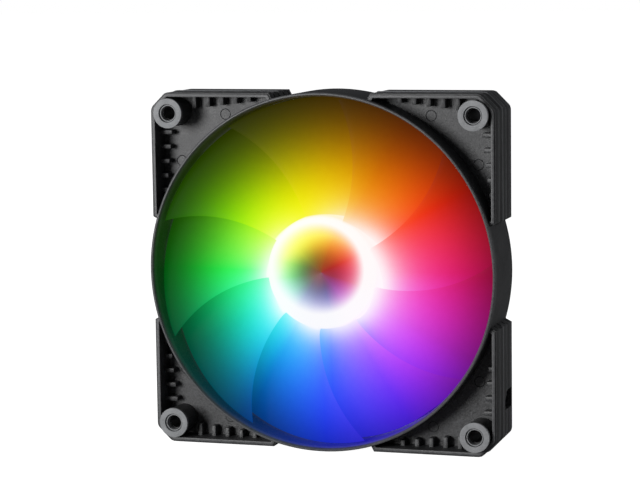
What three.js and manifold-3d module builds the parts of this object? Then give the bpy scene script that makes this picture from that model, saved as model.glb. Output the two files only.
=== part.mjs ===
// A 120 mm class computer case fan, lit from its hub.
//
// A round duct carries four square corners, each a thin stepped wall round an open pocket with a screw
// boss in it. Curved struts behind the blades hold the motor base. The impeller is one moulding of hub
// and blades; a steel yoke with a ring magnet is pressed into it and turns round a wound stator.
//
// Millimetres. X is right, Z is up and the air flows along +Y, so the intake faces -Y. The origin is the
// middle of the fan, on its axis. Along the axis, places are given as depths behind the front pads.
import * as THREE from "three";
import { mergeVertices } from "three/addons/utils/BufferGeometryUtils.js";
import Module from "manifold-3d";

// ---- driving dimensions ----
const WIDTH = 119.5; // over the duct, side to side
const DEPTH = 25; // over the rubber pads, front to rear
const HOLE_INSET = 7.25; // from a side of the fan to its screw holes, which makes them 105 apart
const SCREW_HOLE_RADIUS = 2.2;
const BLADE_COUNT = 9;
const HUB_RADIUS = 19;
const SHAFT_RADIUS = 1.5;

// ---- clearances ----
const SEAT_GAP = 0.1; // between two pieces pressed or glued together
const RUNNING_GAP = 0.06; // shaft in its bearing, on the radius
const AIR_GAP = 0.6; // stator to magnet
const TIP_GAP = 0.7; // blade tip to duct
const SWEEP_GAP = 2.2; // blades to the struts behind them
const END_GAP = 1; // hub to the motor base's rim, and yoke to the hub's rim

// ---- duct and corners ----
const DUCT_WALL = 1.4;
const RIM_ROUND = 0.45;
const MOUTH_DEPTH = 2.5; // the bore widens over this depth at each end
const MOUTH_FLARE = 0.6;
const LIP = 1; // the ring that carries the struts stands this far into the bore, behind the blade tips
const PAD_PROUD = 0.6; // the rear pads stand this far proud of the frame
const CORNER_SET_BACK = 0.35; // a corner's walls lie this far inside the duct's widest point
const WALL_FRONT = 2.2; // the corner walls stop short of the duct's front rim
const WALL = 1.5;
const WALL_END = 17.5; // a corner's walls end this far from the middle of each side
const END_SLANT = 1.6;
const CHAMFER = 5.2;
const CHAMFER_ROUND = 1.4;
const WEB_FRONT = 11; // the plate that closes each corner halfway through
const WEB_THICKNESS = 2;
const RIM_STEP = 0.45;
const RIM_STEP_DEPTH = 0.5;
const BEAD_DEPTH = 11.3; // a proud line round each corner's outside
const BEAD_PROUD = 0.25;
const GROOVE_DEPTHS = [16.2, 21.3];
const LINE_WIDTH = 0.6; // of the bead and of each groove, along the axis

// ---- ribs and ejector marks in the corner pockets, placed from the corner's outer faces ----
const RIB_FIRST = 13.7;
const RIB_PITCH = 4.9;
const RIB_END_MARGIN = 6.5; // no rib stands nearer than this to the end of its wall
const RIB_WIDTH = 1.5;
const RIB_HEIGHT = 3.6;
const RIB_LENGTH = 4.1;
const RIB_SHORTER = 0.55; // each rib is this much shorter than the last
const MARK_PLACE = [23.6, 7.7];
const MARK_RADIUS = 1.9;
const MARK_RECESS = 0.25;

// ---- screw bosses and rubber pads ----
const PAD_BORE_EASE = 0.3; // each step is wider than the screw hole or the step before it by this
const PAD_MOUTH_EASE = 0.5;
const PAD_MOUTH_DEPTH = 1;
const PAD_SPIGOT_WALL = 1.1;
const PAD_SPIGOT_LENGTH = 2;
const PAD_BRIM = 1.4; // the flange reaches this far past the spigot
const PAD_FLANGE = 1.2;
const BOSS_WALL = 1;

// ---- hub and blades ----
const HUB_FRONT = 2.4;
const HUB_FILLET = 2;
const HUB_PLATE = 1.8;
const HUB_WALL = 1.4;
const HUB_DIMPLE_RADIUS = 1.2;
const HUB_DIMPLE_DEPTH = 0.5;
const BLADE_FRONT = 3.1;
const BLADE_SPAN_ROOT = 53; // degrees of turn that one blade covers
const BLADE_SPAN_TIP = 56;
const BLADE_SWEEP = 13; // degrees that the tip runs ahead of the root
const BLADE_CAMBER = 1.35; // over 1 flattens the leading edge and steepens the trailing edge
const BLADE_THICK_ROOT = 2;
const BLADE_THICK_TIP = 1.1;
const BLADE_EDGE = 0.25; // half thickness at the edges

// ---- motor base, struts and cable way ----
const BASE_OVERHANG = 1.4; // the base is this much wider than the hub, on the radius
const BASE_HEIGHT = 6.2;
const BASE_WALL = 1.2;
const BASE_PLATE = 2;
const BASE_PROUD = 0.5; // the base stands this far behind the frame
const LABEL_MARGIN = 3.5;
const LABEL_THICKNESS = 0.25;
const LABEL_RECESS = 0.4;
const STRUT_COUNT = 7;
const STRUT_INSET = 1.6; // from the base's front rim to the struts
const STRUT_WIDTH = 2.3;
const STRUT_BOW = 7; // the control point of a strut's curve stands this far to one side
const CABLE_STRUT_WIDTH = 6.4;
const CABLE_WAY_WIDTH = 4.2;
const CABLE_WAY_DEPTH = 2.6;
const CABLE_STRUT_ANGLE = -36; // degrees from +X, seen from the front
const CABLE_WINDOW = { start: 13.7, width: 6.3, front: 14.6, bridge: 1.2, slant: 3 };
const CABLE_TAB_LENGTH = 6.4;
const CABLE_TAB_FOOT = 1.8; // the tab reaches this far below the window

// ---- rotor ----
const YOKE_THICKNESS = 0.8;
const MAGNET_THICKNESS = 1.4;
const MAGNET_INSET = 1.4; // from the yoke's inner face
const MAGNET_END = 0.9; // from the yoke's open end
const COLLAR_NECK_WALL = 0.5;
const COLLAR_WALL = 1.9;
const COLLAR_LENGTH = 2.3;
const SHAFT_TAIL = 0.9;
const CLIP_WIDTH = 1.4;
const CLIP_THICKNESS = 0.4;
const CLIP_GROOVE = 0.3;

// ---- bearing ----
const SLEEVE_WALL = 1.79;
const TUBE_WALL = 0.95;
const TUBE_FRONT_GAP = 0.9; // from the collar to the bearing tube
const SEAL_THICKNESS = 0.5;
const SLEEVE_LENGTH = 10.4;
const CLIP_GAP = 0.5;
const THRUST_PAD_THICKNESS = 0.45;

// ---- stator ----
const CORE_LENGTH = 5.4;
const CORE_RING_WALL = 2.3;
const POLE_COUNT = 4;
const POLE_ARM_WIDTH = 3.2;
const POLE_SHOE_SPAN = 74; // degrees
const POLE_SHOE_THICKNESS = 1.8;
const INSULATOR_THICKNESS = 0.8;
const COIL_THICKNESS = 1.5;

// ---- circuit board ----
const BOARD_INSET = 1.6; // from the base's front rim
const BOARD_THICKNESS = 1;
const POST_RADIUS = 1;
const POST_COUNT = 3;
const LED_COUNT = 8;
const LED_SIZE = 2.8;
const LED_HEIGHT = 1.3;
const LED_INSET = 0.5;
// Each part's radius counts in from the board's edge; its size is across, along the radius and in height.
const SMALL_PARTS = [
  { name: "hall_sensor", inset: 3.8, angle: 22.5, size: [4, 3, 1.2], slot: "chip" },
  { name: "driver_chip", inset: 8.4, angle: 112.5, size: [6, 5, 1.4], slot: "chip" },
  { name: "led_driver_chip", inset: 8.4, angle: 202.5, size: [4, 4, 1], slot: "chip" },
  { name: "smoothing_capacitor", inset: 8, angle: 292.5, size: [3.2, 2.5, 1.6], slot: "ceramic" },
  { name: "current_resistor", inset: 9.6, angle: 67.5, size: [2, 1.25, 0.6], slot: "ceramic" },
  { name: "rotation_diode", inset: 9.6, angle: 157.5, size: [2.7, 1.6, 1], slot: "chip" },
];

// ---- smoothness ----
const DUCT_SEGMENTS = 72;
const HUB_SEGMENTS = 40;
const MOTOR_SEGMENTS = 32;
const BORE_SEGMENTS = 16;
const BLADE_STATIONS = 5;
const BLADE_CHORD_STEPS = 6;
const STRUT_STEPS = 6;
const FILLET_STEPS = 4;
const ARC_STEPS = 2;

// ---- sizes that follow from the ones above ----
const DUCT_RADIUS = WIDTH / 2;
const BORE_RADIUS = DUCT_RADIUS - DUCT_WALL;
const FRAME_BACK = DEPTH - PAD_PROUD;
const CORNER_HALF_SPAN = DUCT_RADIUS - CORNER_SET_BACK;
const HOLE_PLACE = DUCT_RADIUS - HOLE_INSET;
const WEB_BACK = WEB_FRONT + WEB_THICKNESS;
const PAD_BORE_RADIUS = SCREW_HOLE_RADIUS + PAD_BORE_EASE;
const PAD_MOUTH_RADIUS = PAD_BORE_RADIUS + PAD_MOUTH_EASE;
const PAD_SPIGOT_RADIUS = PAD_BORE_RADIUS + PAD_SPIGOT_WALL;
const PAD_RADIUS = PAD_SPIGOT_RADIUS + PAD_BRIM;
const BOSS_RADIUS = PAD_SPIGOT_RADIUS + SEAT_GAP + BOSS_WALL;
const BOSS_FRONT = PAD_FLANGE + SEAT_GAP;
const BASE_RADIUS = HUB_RADIUS + BASE_OVERHANG;
const BASE_BACK = FRAME_BACK + BASE_PROUD;
const BASE_FLOOR = BASE_BACK - BASE_PLATE;
const BASE_RIM_FRONT = BASE_BACK - BASE_HEIGHT;
const BASE_RECESS = BASE_BACK - LABEL_RECESS;
const LABEL_RADIUS = BASE_RADIUS - LABEL_MARGIN - SEAT_GAP;
const STRUT_FRONT = BASE_RIM_FRONT + STRUT_INSET;
const BLADE_TIP_RADIUS = BORE_RADIUS * Math.cos(Math.PI / DUCT_SEGMENTS) - TIP_GAP;
const BLADE_BACK = STRUT_FRONT - SWEEP_GAP;
const HUB_BACK = BASE_RIM_FRONT - END_GAP;
const HUB_INSIDE = HUB_FRONT + HUB_PLATE;
const YOKE_RADIUS = HUB_RADIUS - HUB_WALL - SEAT_GAP;
const YOKE_FRONT = HUB_INSIDE + SEAT_GAP;
const YOKE_INSIDE = YOKE_FRONT + YOKE_THICKNESS;
const YOKE_BACK = HUB_BACK - END_GAP;
const MAGNET_RADIUS = YOKE_RADIUS - YOKE_THICKNESS - SEAT_GAP;
const MAGNET_FRONT = YOKE_INSIDE + MAGNET_INSET;
const MAGNET_BACK = YOKE_BACK - MAGNET_END;
const SHAFT_FRONT = YOKE_FRONT + SEAT_GAP;
const COLLAR_NECK_RADIUS = SHAFT_RADIUS + SEAT_GAP + COLLAR_NECK_WALL;
const COLLAR_RADIUS = SHAFT_RADIUS + COLLAR_WALL;
const COLLAR_FRONT = YOKE_INSIDE + SEAT_GAP;
const COLLAR_BACK = COLLAR_FRONT + COLLAR_LENGTH;
const SLEEVE_RADIUS = SHAFT_RADIUS + RUNNING_GAP + SLEEVE_WALL;
const TUBE_BORE_RADIUS = SLEEVE_RADIUS + SEAT_GAP;
const TUBE_RADIUS = TUBE_BORE_RADIUS + TUBE_WALL;
const TUBE_FRONT = COLLAR_BACK + TUBE_FRONT_GAP;
const SEAL_FRONT = TUBE_FRONT + SEAT_GAP;
const SLEEVE_FRONT = SEAL_FRONT + SEAL_THICKNESS + SEAT_GAP;
const CLIP_RADIUS = SHAFT_RADIUS + CLIP_WIDTH - CLIP_GROOVE;
const CLIP_FRONT = SLEEVE_FRONT + SLEEVE_LENGTH + CLIP_GAP;
const SHAFT_BACK = CLIP_FRONT + CLIP_THICKNESS + SHAFT_TAIL;
const THRUST_PAD_FRONT = SHAFT_BACK + SEAT_GAP;
const CAP_FRONT = THRUST_PAD_FRONT + THRUST_PAD_THICKNESS + SEAT_GAP;
const CORE_RADIUS = MAGNET_RADIUS - MAGNET_THICKNESS - AIR_GAP;
const CORE_BORE_RADIUS = TUBE_RADIUS + SEAT_GAP;
const CORE_FRONT = (MAGNET_FRONT + MAGNET_BACK - CORE_LENGTH) / 2;
const CORE_BACK = CORE_FRONT + CORE_LENGTH;
const BOARD_RADIUS = BASE_RADIUS - BASE_WALL - 2 * SEAT_GAP;
const BOARD_FRONT = BASE_RIM_FRONT + BOARD_INSET;
const BOARD_BACK = BOARD_FRONT + BOARD_THICKNESS;
const LED_RADIUS = BOARD_RADIUS - LED_INSET - LED_SIZE / 2;

const wasm = await Module();
wasm.setup();

// ---- geometry helpers ----
const station = (depth) => depth - DEPTH / 2; // Y of a depth behind the front pads
const radians = THREE.MathUtils.degToRad;

function solidOf(geometry) {
  const bare = new THREE.BufferGeometry();
  bare.setAttribute("position", geometry.getAttribute("position"));
  bare.setIndex(geometry.getIndex());
  const merged = mergeVertices(bare, 1e-4);
  const vertProperties = new Float32Array(merged.attributes.position.array);
  const triVerts = new Uint32Array(merged.index.array);
  return new wasm.Manifold(new wasm.Mesh({ numProp: 3, vertProperties, triVerts }));
}

function geometryOf(solid) {
  const mesh = solid.getMesh();
  const geometry = new THREE.BufferGeometry();
  geometry.setAttribute("position", new THREE.BufferAttribute(mesh.vertProperties, 3));
  geometry.setIndex(new THREE.BufferAttribute(mesh.triVerts, 1));
  geometry.computeVertexNormals();
  return geometry;
}

const joined = (solids) => solids.reduce((sum, next) => sum.add(next));
const cut = (solid, tools) => tools.reduce((rest, tool) => rest.subtract(tool), solid);

// A solid of revolution about the fan's axis from [radius, depth] pairs.
function turned(profile, segments) {
  const closed = [...profile, profile[0]];
  let doubleArea = 0;
  for (let i = 0; i < profile.length; i++) {
    doubleArea += closed[i][0] * closed[i + 1][1] - closed[i + 1][0] * closed[i][1];
  }
  const ordered = doubleArea > 0 ? closed : closed.reverse();
  const points = ordered.map(([radius, depth]) => new THREE.Vector2(radius, station(depth)));
  return solidOf(new THREE.LatheGeometry(points, segments));
}

const disc = (radius, front, back, segments) =>
  turned([[0, front], [radius, front], [radius, back], [0, back]], segments);

const ring = (inner, outer, front, back, segments) =>
  turned([[inner, front], [outer, front], [outer, back], [inner, back]], segments);

// A flat outline in the X-Z plane, made solid from one depth to another.
function slab(shape, front, back, curveSegments = ARC_STEPS) {
  const geometry = new THREE.ExtrudeGeometry(shape, {
    depth: back - front,
    bevelEnabled: false,
    curveSegments,
  });
  geometry.rotateX(Math.PI / 2);
  geometry.translate(0, station(back), 0);
  return solidOf(geometry);
}

const outlineOf = (pairs) => new THREE.Shape(pairs.map(([x, z]) => new THREE.Vector2(x, z)));

const block = (x0, x1, front, back, z0, z1) =>
  slab(outlineOf([[x0, z0], [x1, z0], [x1, z1], [x0, z1]]), front, back);

// Turns a solid about the fan's axis, anticlockwise seen from the front, by degrees.
const spun = (solid, degrees) => solid.rotate([0, -degrees, 0]);
const moved = (solid, x, z) => solid.translate([x, 0, z]);

const around = (count, make) => Array.from({ length: count }, (_, i) => make(i, (360 / count) * i));

// ---- frame ----
// One corner's outline in the quadrant of +X and +Z, its outer faces moved in by inset.
function cornerOutline(inset, end) {
  const half = CORNER_HALF_SPAN - inset;
  const chamferStart = CORNER_HALF_SPAN - CHAMFER - inset * Math.tan(Math.PI / 8);
  const inner = half - END_SLANT - WALL;
  const corner = [half, chamferStart];
  const shape = new THREE.Shape();
  shape.moveTo(end - END_SLANT, inner);
  shape.lineTo(end, half);
  shape.lineTo(chamferStart - CHAMFER_ROUND, half);
  shape.quadraticCurveTo(chamferStart, half, chamferStart + CHAMFER_ROUND / 2, half - CHAMFER_ROUND / 2);
  shape.lineTo(half - CHAMFER_ROUND / 2, chamferStart + CHAMFER_ROUND / 2);
  shape.quadraticCurveTo(...corner, half, chamferStart - CHAMFER_ROUND);
  shape.lineTo(half, end);
  shape.lineTo(inner, end - END_SLANT);
  shape.closePath();
  return shape;
}

const cornerSlab = (inset, front, back, end = WALL_END) =>
  slab(cornerOutline(inset, end), front, back);

// The outside of one corner: a stack of slabs that makes its rim step, bead and grooves.
function cornerBlock() {
  const lines = [
    { depth: BEAD_DEPTH, inset: -BEAD_PROUD },
    ...GROOVE_DEPTHS.map((depth) => ({ depth, inset: BEAD_PROUD })),
  ];
  const slabs = [cornerSlab(RIM_STEP, WALL_FRONT, WALL_FRONT + RIM_STEP_DEPTH)];
  let from = WALL_FRONT + RIM_STEP_DEPTH;
  for (const { depth, inset } of lines) {
    slabs.push(cornerSlab(0, from, depth));
    slabs.push(cornerSlab(inset, depth, depth + LINE_WIDTH));
    from = depth + LINE_WIDTH;
  }
  slabs.push(cornerSlab(0, from, FRAME_BACK));
  return joined(slabs);
}

// The two pockets of one corner, before the duct is left standing in them.
function cornerPockets() {
  const end = WALL_END + WALL;
  return [cornerSlab(WALL, 0, WEB_FRONT, end), cornerSlab(WALL, WEB_BACK, DEPTH, end)];
}

// The ribs that stand on both sides of one corner's plate, along both of its walls.
function cornerRibs() {
  const wallFace = CORNER_HALF_SPAN - WALL / 2;
  const ribs = [];
  let length = RIB_LENGTH;
  for (let place = CORNER_HALF_SPAN - RIB_FIRST; place > WALL_END + RIB_END_MARGIN; place -= RIB_PITCH) {
    const tip = CORNER_HALF_SPAN - WALL - length;
    const low = place - RIB_WIDTH / 2;
    const high = place + RIB_WIDTH / 2;
    const nose = RIB_WIDTH / 3;
    const outline = [[low, wallFace], [low, tip + nose], [place, tip], [high, tip + nose], [high, wallFace]];
    const alongTop = slab(outlineOf(outline), WEB_FRONT - RIB_HEIGHT, WEB_BACK + RIB_HEIGHT);
    const flipped = outline.map(([x, z]) => [z, x]).reverse();
    const alongSide = slab(outlineOf(flipped), WEB_FRONT - RIB_HEIGHT, WEB_BACK + RIB_HEIGHT);
    ribs.push(alongTop, alongSide);
    length -= RIB_SHORTER;
  }
  return ribs;
}

function ejectorMarks() {
  const [along, out] = MARK_PLACE.map((inset) => CORNER_HALF_SPAN - inset);
  const mark = disc(MARK_RADIUS, WEB_FRONT - 1, WEB_FRONT + MARK_RECESS, BORE_SEGMENTS / 2);
  return [moved(mark, along, out), moved(mark, out, along)];
}

function screwBoss() {
  const boss = disc(BOSS_RADIUS, BOSS_FRONT, DEPTH - BOSS_FRONT, BORE_SEGMENTS);
  return moved(boss, HOLE_PLACE, HOLE_PLACE);
}

function screwBore() {
  const seatRadius = PAD_SPIGOT_RADIUS + SEAT_GAP;
  const seatDepth = PAD_FLANGE + PAD_SPIGOT_LENGTH + SEAT_GAP;
  const flangeRadius = PAD_RADIUS + SEAT_GAP;
  const profile = [
    [0, -1], [seatRadius, -1], [seatRadius, seatDepth], [SCREW_HOLE_RADIUS, seatDepth],
    [SCREW_HOLE_RADIUS, DEPTH - seatDepth], [seatRadius, DEPTH - seatDepth],
    [seatRadius, DEPTH - BOSS_FRONT], [flangeRadius, DEPTH - BOSS_FRONT], [flangeRadius, DEPTH + 1],
    [0, DEPTH + 1],
  ];
  return moved(turned(profile, BORE_SEGMENTS), HOLE_PLACE, HOLE_PLACE);
}

function ductWall() {
  const profile = [
    [DUCT_RADIUS - DUCT_WALL + MOUTH_FLARE, 0], [DUCT_RADIUS - RIM_ROUND, 0], [DUCT_RADIUS, RIM_ROUND],
    [DUCT_RADIUS, FRAME_BACK - RIM_ROUND], [DUCT_RADIUS - RIM_ROUND, FRAME_BACK],
    [BORE_RADIUS - LIP + MOUTH_FLARE, FRAME_BACK], [BORE_RADIUS - LIP, FRAME_BACK - MOUTH_DEPTH],
    [BORE_RADIUS - LIP, STRUT_FRONT], [BORE_RADIUS, STRUT_FRONT - LIP], [BORE_RADIUS, MOUTH_DEPTH],
  ];
  return turned(profile, DUCT_SEGMENTS);
}

// A bowed strip from the motor base out to the duct, as an outline in the X-Z plane.
function strutOutline(width, inner, outer) {
  const middle = (inner + outer) / 2;
  const path = new THREE.QuadraticBezierCurve(
    new THREE.Vector2(inner, 0),
    new THREE.Vector2(middle, STRUT_BOW),
    new THREE.Vector2(outer, 0),
  );
  const sides = [[], []];
  for (let i = 0; i <= STRUT_STEPS; i++) {
    const point = path.getPoint(i / STRUT_STEPS);
    const along = path.getTangent(i / STRUT_STEPS);
    sides[0].push([point.x + (along.y * width) / 2, point.y - (along.x * width) / 2]);
    sides[1].push([point.x - (along.y * width) / 2, point.y + (along.x * width) / 2]);
  }
  return outlineOf([...sides[0], ...sides[1].reverse()]);
}

function struts() {
  const inner = BASE_RADIUS - BASE_WALL / 2;
  const outer = DUCT_RADIUS - DUCT_WALL / 2;
  const reach = ring(inner, outer, STRUT_FRONT, FRAME_BACK, DUCT_SEGMENTS);
  return around(STRUT_COUNT, (i, angle) => {
    const width = i === 0 ? CABLE_STRUT_WIDTH : STRUT_WIDTH;
    const strut = slab(strutOutline(width, inner - width, outer + width), STRUT_FRONT, FRAME_BACK);
    return spun(strut, angle + CABLE_STRUT_ANGLE).intersect(reach);
  });
}

// The channel behind the wide strut, from the circuit board through the duct to the corner pocket.
function cableWay() {
  const outline = strutOutline(CABLE_WAY_WIDTH, BASE_RADIUS - 2 * BASE_WALL, DUCT_RADIUS + DUCT_WALL);
  return spun(slab(outline, FRAME_BACK - CABLE_WAY_DEPTH, DEPTH + 1), CABLE_STRUT_ANGLE);
}

// The window in the right wall of the lower right corner.
function cableWindow() {
  const { start, width, front, bridge, slant } = CABLE_WINDOW;
  const low = start - CORNER_HALF_SPAN;
  const high = low + width;
  const back = FRAME_BACK - bridge;
  const shape = outlineOf([
    [station(front), low], [station(back), low], [station(back), high], [station(front) + slant, high],
    [station(front), high - slant],
  ]);
  const reach = WALL + RIB_LENGTH + 1;
  const geometry = new THREE.ExtrudeGeometry(shape, { depth: reach + 1, bevelEnabled: false });
  geometry.rotateX(Math.PI / 2);
  geometry.rotateZ(Math.PI / 2);
  geometry.translate(CORNER_HALF_SPAN - reach, 0, 0);
  return solidOf(geometry);
}

// The tab across the back of the pocket that keeps the cable in its window.
function cableTab() {
  const { start, width, bridge } = CABLE_WINDOW;
  const inner = CORNER_HALF_SPAN - CABLE_TAB_LENGTH;
  const outer = CORNER_HALF_SPAN - WALL / 2;
  const low = start - CORNER_HALF_SPAN;
  return block(inner, outer, FRAME_BACK - bridge, FRAME_BACK, low - CABLE_TAB_FOOT, low + width);
}

function motorBase() {
  const profile = [
    [BASE_RADIUS - BASE_WALL, BASE_RIM_FRONT], [BASE_RADIUS, BASE_RIM_FRONT], [BASE_RADIUS, BASE_BACK],
    [LABEL_RADIUS + SEAT_GAP, BASE_BACK], [LABEL_RADIUS + SEAT_GAP, BASE_RECESS], [0, BASE_RECESS],
    [0, BASE_FLOOR], [BASE_RADIUS - BASE_WALL, BASE_FLOOR],
  ];
  const tube = disc(TUBE_RADIUS, TUBE_FRONT, BASE_FLOOR + BASE_PLATE / 2, BORE_SEGMENTS);
  const post = disc(POST_RADIUS, BOARD_BACK + SEAT_GAP, BASE_FLOOR + SEAT_GAP, BORE_SEGMENTS / 2);
  const postPlace = (TUBE_RADIUS + BOARD_RADIUS) / 2;
  const posts = around(POST_COUNT, (i, angle) => spun(moved(post, postPlace, 0), angle + 30));
  const bore = disc(TUBE_BORE_RADIUS, TUBE_FRONT - 1, DEPTH + 1, BORE_SEGMENTS);
  return joined([turned(profile, HUB_SEGMENTS), tube, ...posts]).subtract(bore);
}

function makeFrame() {
  const inDuct = disc(DUCT_RADIUS - DUCT_WALL / 2, -1, DEPTH + 1, DUCT_SEGMENTS);
  const withinDuct = disc(DUCT_RADIUS, -1, DEPTH + 1, DUCT_SEGMENTS);
  const pockets = cornerPockets().map((pocket) => pocket.subtract(withinDuct));
  const corner = cut(cornerBlock().subtract(inDuct), pockets);
  const ribs = cornerRibs().map((rib) => rib.subtract(withinDuct));
  const whole = cut(joined([corner, screwBoss(), ...ribs]), [screwBore(), ...ejectorMarks()]);
  const corners = around(4, (i, angle) => spun(whole, angle));
  const shell = joined([ductWall(), ...corners, motorBase(), ...struts()]);
  return cut(shell, [cableWay(), cableWindow()]).add(cableTab());
}

function makePad() {
  const spigotEnd = PAD_FLANGE + PAD_SPIGOT_LENGTH;
  const round = RIM_ROUND / 2;
  const profile = [
    [PAD_MOUTH_RADIUS, 0], [PAD_RADIUS - round, 0], [PAD_RADIUS, round], [PAD_RADIUS, PAD_FLANGE],
    [PAD_SPIGOT_RADIUS, PAD_FLANGE], [PAD_SPIGOT_RADIUS, spigotEnd], [PAD_BORE_RADIUS, spigotEnd],
    [PAD_BORE_RADIUS, PAD_MOUTH_DEPTH], [PAD_MOUTH_RADIUS, PAD_MOUTH_DEPTH],
  ];
  return turned(profile, BORE_SEGMENTS);
}

// ---- impeller ----
// A point of the blade's middle surface: share runs 0 to 1 from leading to trailing edge.
function bladePoint(radius, share) {
  const outward = (radius - HUB_RADIUS) / (BLADE_TIP_RADIUS - HUB_RADIUS);
  const span = THREE.MathUtils.lerp(BLADE_SPAN_ROOT, BLADE_SPAN_TIP, outward);
  const lead = span / 2 + BLADE_SWEEP * Math.max(outward, 0) ** 1.5;
  const angle = radians(lead - span * share);
  const depth = BLADE_FRONT + (BLADE_BACK - BLADE_FRONT) * share ** BLADE_CAMBER;
  return new THREE.Vector3(radius * Math.cos(angle), station(depth), radius * Math.sin(angle));
}

function bladeNormal(radius, share) {
  const step = 1e-3;
  const inShare = Math.min(Math.max(share, step), 1 - step);
  const alongChord = bladePoint(radius, inShare + step).sub(bladePoint(radius, inShare - step));
  const alongRadius = bladePoint(radius + step, inShare).sub(bladePoint(radius - step, inShare));
  return alongChord.cross(alongRadius).normalize();
}

// One section of the blade at a radius: along the front face, then back along the rear face.
function bladeSection(radius, outward) {
  const thickness = THREE.MathUtils.lerp(BLADE_THICK_ROOT, BLADE_THICK_TIP, outward);
  const faces = [[], []];
  for (let i = 0; i <= BLADE_CHORD_STEPS; i++) {
    const share = i / BLADE_CHORD_STEPS;
    const belly = (thickness / 2 - BLADE_EDGE) * Math.sin(Math.PI * share ** 0.8);
    const normal = bladeNormal(radius, share);
    for (const side of [0, 1]) {
      const offset = (side === 0 ? 1 : -1) * (BLADE_EDGE + belly);
      const point = bladePoint(radius, share).addScaledVector(normal, offset);
      const scale = radius / Math.hypot(point.x, point.z); // keeps the section on its own cylinder
      faces[side].push(new THREE.Vector3(point.x * scale, point.y, point.z * scale));
    }
  }
  return [...faces[0], ...faces[1].reverse()];
}

function makeBlade() {
  const rootRadius = HUB_RADIUS - HUB_WALL / 2;
  const sections = [];
  for (let i = 0; i <= BLADE_STATIONS; i++) {
    const outward = i / BLADE_STATIONS;
    const radius = THREE.MathUtils.lerp(rootRadius, BLADE_TIP_RADIUS, outward);
    sections.push(bladeSection(radius, outward));
  }
  const around = sections[0].length;
  const index = [];
  for (let i = 0; i < BLADE_STATIONS; i++) {
    for (let j = 0; j < around; j++) {
      const next = (j + 1) % around;
      const [a, b] = [i * around + j, i * around + next];
      index.push(a, b, b + around, a, b + around, a + around);
    }
  }
  const last = BLADE_STATIONS * around;
  for (let j = 0; j < around / 2 - 1; j++) {
    const [a, b, c, d] = [j, j + 1, around - 2 - j, around - 1 - j];
    index.push(a, d, c, a, c, b);
    index.push(last + a, last + c, last + d, last + a, last + b, last + c);
  }
  const geometry = new THREE.BufferGeometry().setFromPoints(sections.flat());
  geometry.setIndex(index);
  const blade = solidOf(geometry);
  if (blade.volume() > 0) return blade;
  geometry.setIndex(index.reverse());
  return solidOf(geometry);
}

function hubShell() {
  const fillet = [];
  for (let i = 0; i <= FILLET_STEPS; i++) {
    const turn = (Math.PI / 2) * (i / FILLET_STEPS);
    fillet.push([
      HUB_RADIUS - HUB_FILLET * (1 - Math.sin(turn)),
      HUB_FRONT + HUB_FILLET * (1 - Math.cos(turn)),
    ]);
  }
  const inside = HUB_RADIUS - HUB_WALL;
  const profile = [
    [0, HUB_FRONT + HUB_DIMPLE_DEPTH], [HUB_DIMPLE_RADIUS, HUB_FRONT + HUB_DIMPLE_DEPTH],
    [HUB_DIMPLE_RADIUS, HUB_FRONT], ...fillet, [HUB_RADIUS, HUB_BACK], [inside, HUB_BACK],
    [inside, HUB_INSIDE], [0, HUB_INSIDE],
  ];
  return turned(profile, HUB_SEGMENTS);
}

function makeImpeller() {
  const blade = makeBlade();
  const hollow = disc(HUB_RADIUS - HUB_WALL, HUB_INSIDE, DEPTH, HUB_SEGMENTS);
  const blades = around(BLADE_COUNT, (i, angle) => spun(blade, angle).subtract(hollow));
  return joined([hubShell(), ...blades]);
}

// ---- rotor ----
function makeYoke() {
  const inner = YOKE_RADIUS - YOKE_THICKNESS;
  const hole = COLLAR_NECK_RADIUS + SEAT_GAP;
  const profile = [
    [hole, YOKE_FRONT], [YOKE_RADIUS, YOKE_FRONT], [YOKE_RADIUS, YOKE_BACK], [inner, YOKE_BACK],
    [inner, YOKE_INSIDE], [hole, YOKE_INSIDE],
  ];
  return turned(profile, MOTOR_SEGMENTS);
}

const makeMagnet = () =>
  ring(MAGNET_RADIUS - MAGNET_THICKNESS, MAGNET_RADIUS, MAGNET_FRONT, MAGNET_BACK, MOTOR_SEGMENTS);

function makeCollar() {
  const bore = SHAFT_RADIUS + SEAT_GAP;
  const profile = [
    [bore, SHAFT_FRONT], [COLLAR_NECK_RADIUS, SHAFT_FRONT], [COLLAR_NECK_RADIUS, COLLAR_FRONT],
    [COLLAR_RADIUS, COLLAR_FRONT], [COLLAR_RADIUS, COLLAR_BACK], [bore, COLLAR_BACK],
  ];
  return turned(profile, BORE_SEGMENTS);
}

function makeShaft() {
  const neck = SHAFT_RADIUS - CLIP_GROOVE;
  const grooveFront = CLIP_FRONT - SEAT_GAP;
  const grooveBack = CLIP_FRONT + CLIP_THICKNESS + SEAT_GAP;
  const profile = [
    [0, SHAFT_FRONT], [SHAFT_RADIUS, SHAFT_FRONT], [SHAFT_RADIUS, grooveFront], [neck, grooveFront],
    [neck, grooveBack], [SHAFT_RADIUS, grooveBack], [SHAFT_RADIUS, SHAFT_BACK - CLIP_GROOVE],
    [SHAFT_RADIUS * 0.6, SHAFT_BACK], [0, SHAFT_BACK],
  ];
  return turned(profile, BORE_SEGMENTS);
}

// The open snap ring in the shaft's groove, which keeps the rotor from pulling out.
function makeClip() {
  const inner = SHAFT_RADIUS - CLIP_GROOVE + SEAT_GAP / 2;
  const whole = ring(inner, CLIP_RADIUS, CLIP_FRONT, CLIP_FRONT + CLIP_THICKNESS, BORE_SEGMENTS);
  const mouth = block(0, 2 * CLIP_RADIUS, CLIP_FRONT - 1, CLIP_FRONT + 1, -inner * 0.7, inner * 0.7);
  return whole.subtract(mouth);
}

// ---- bearing ----
const makeSleeve = () =>
  ring(SHAFT_RADIUS + RUNNING_GAP, SLEEVE_RADIUS, SLEEVE_FRONT, SLEEVE_FRONT + SLEEVE_LENGTH, BORE_SEGMENTS);

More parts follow.
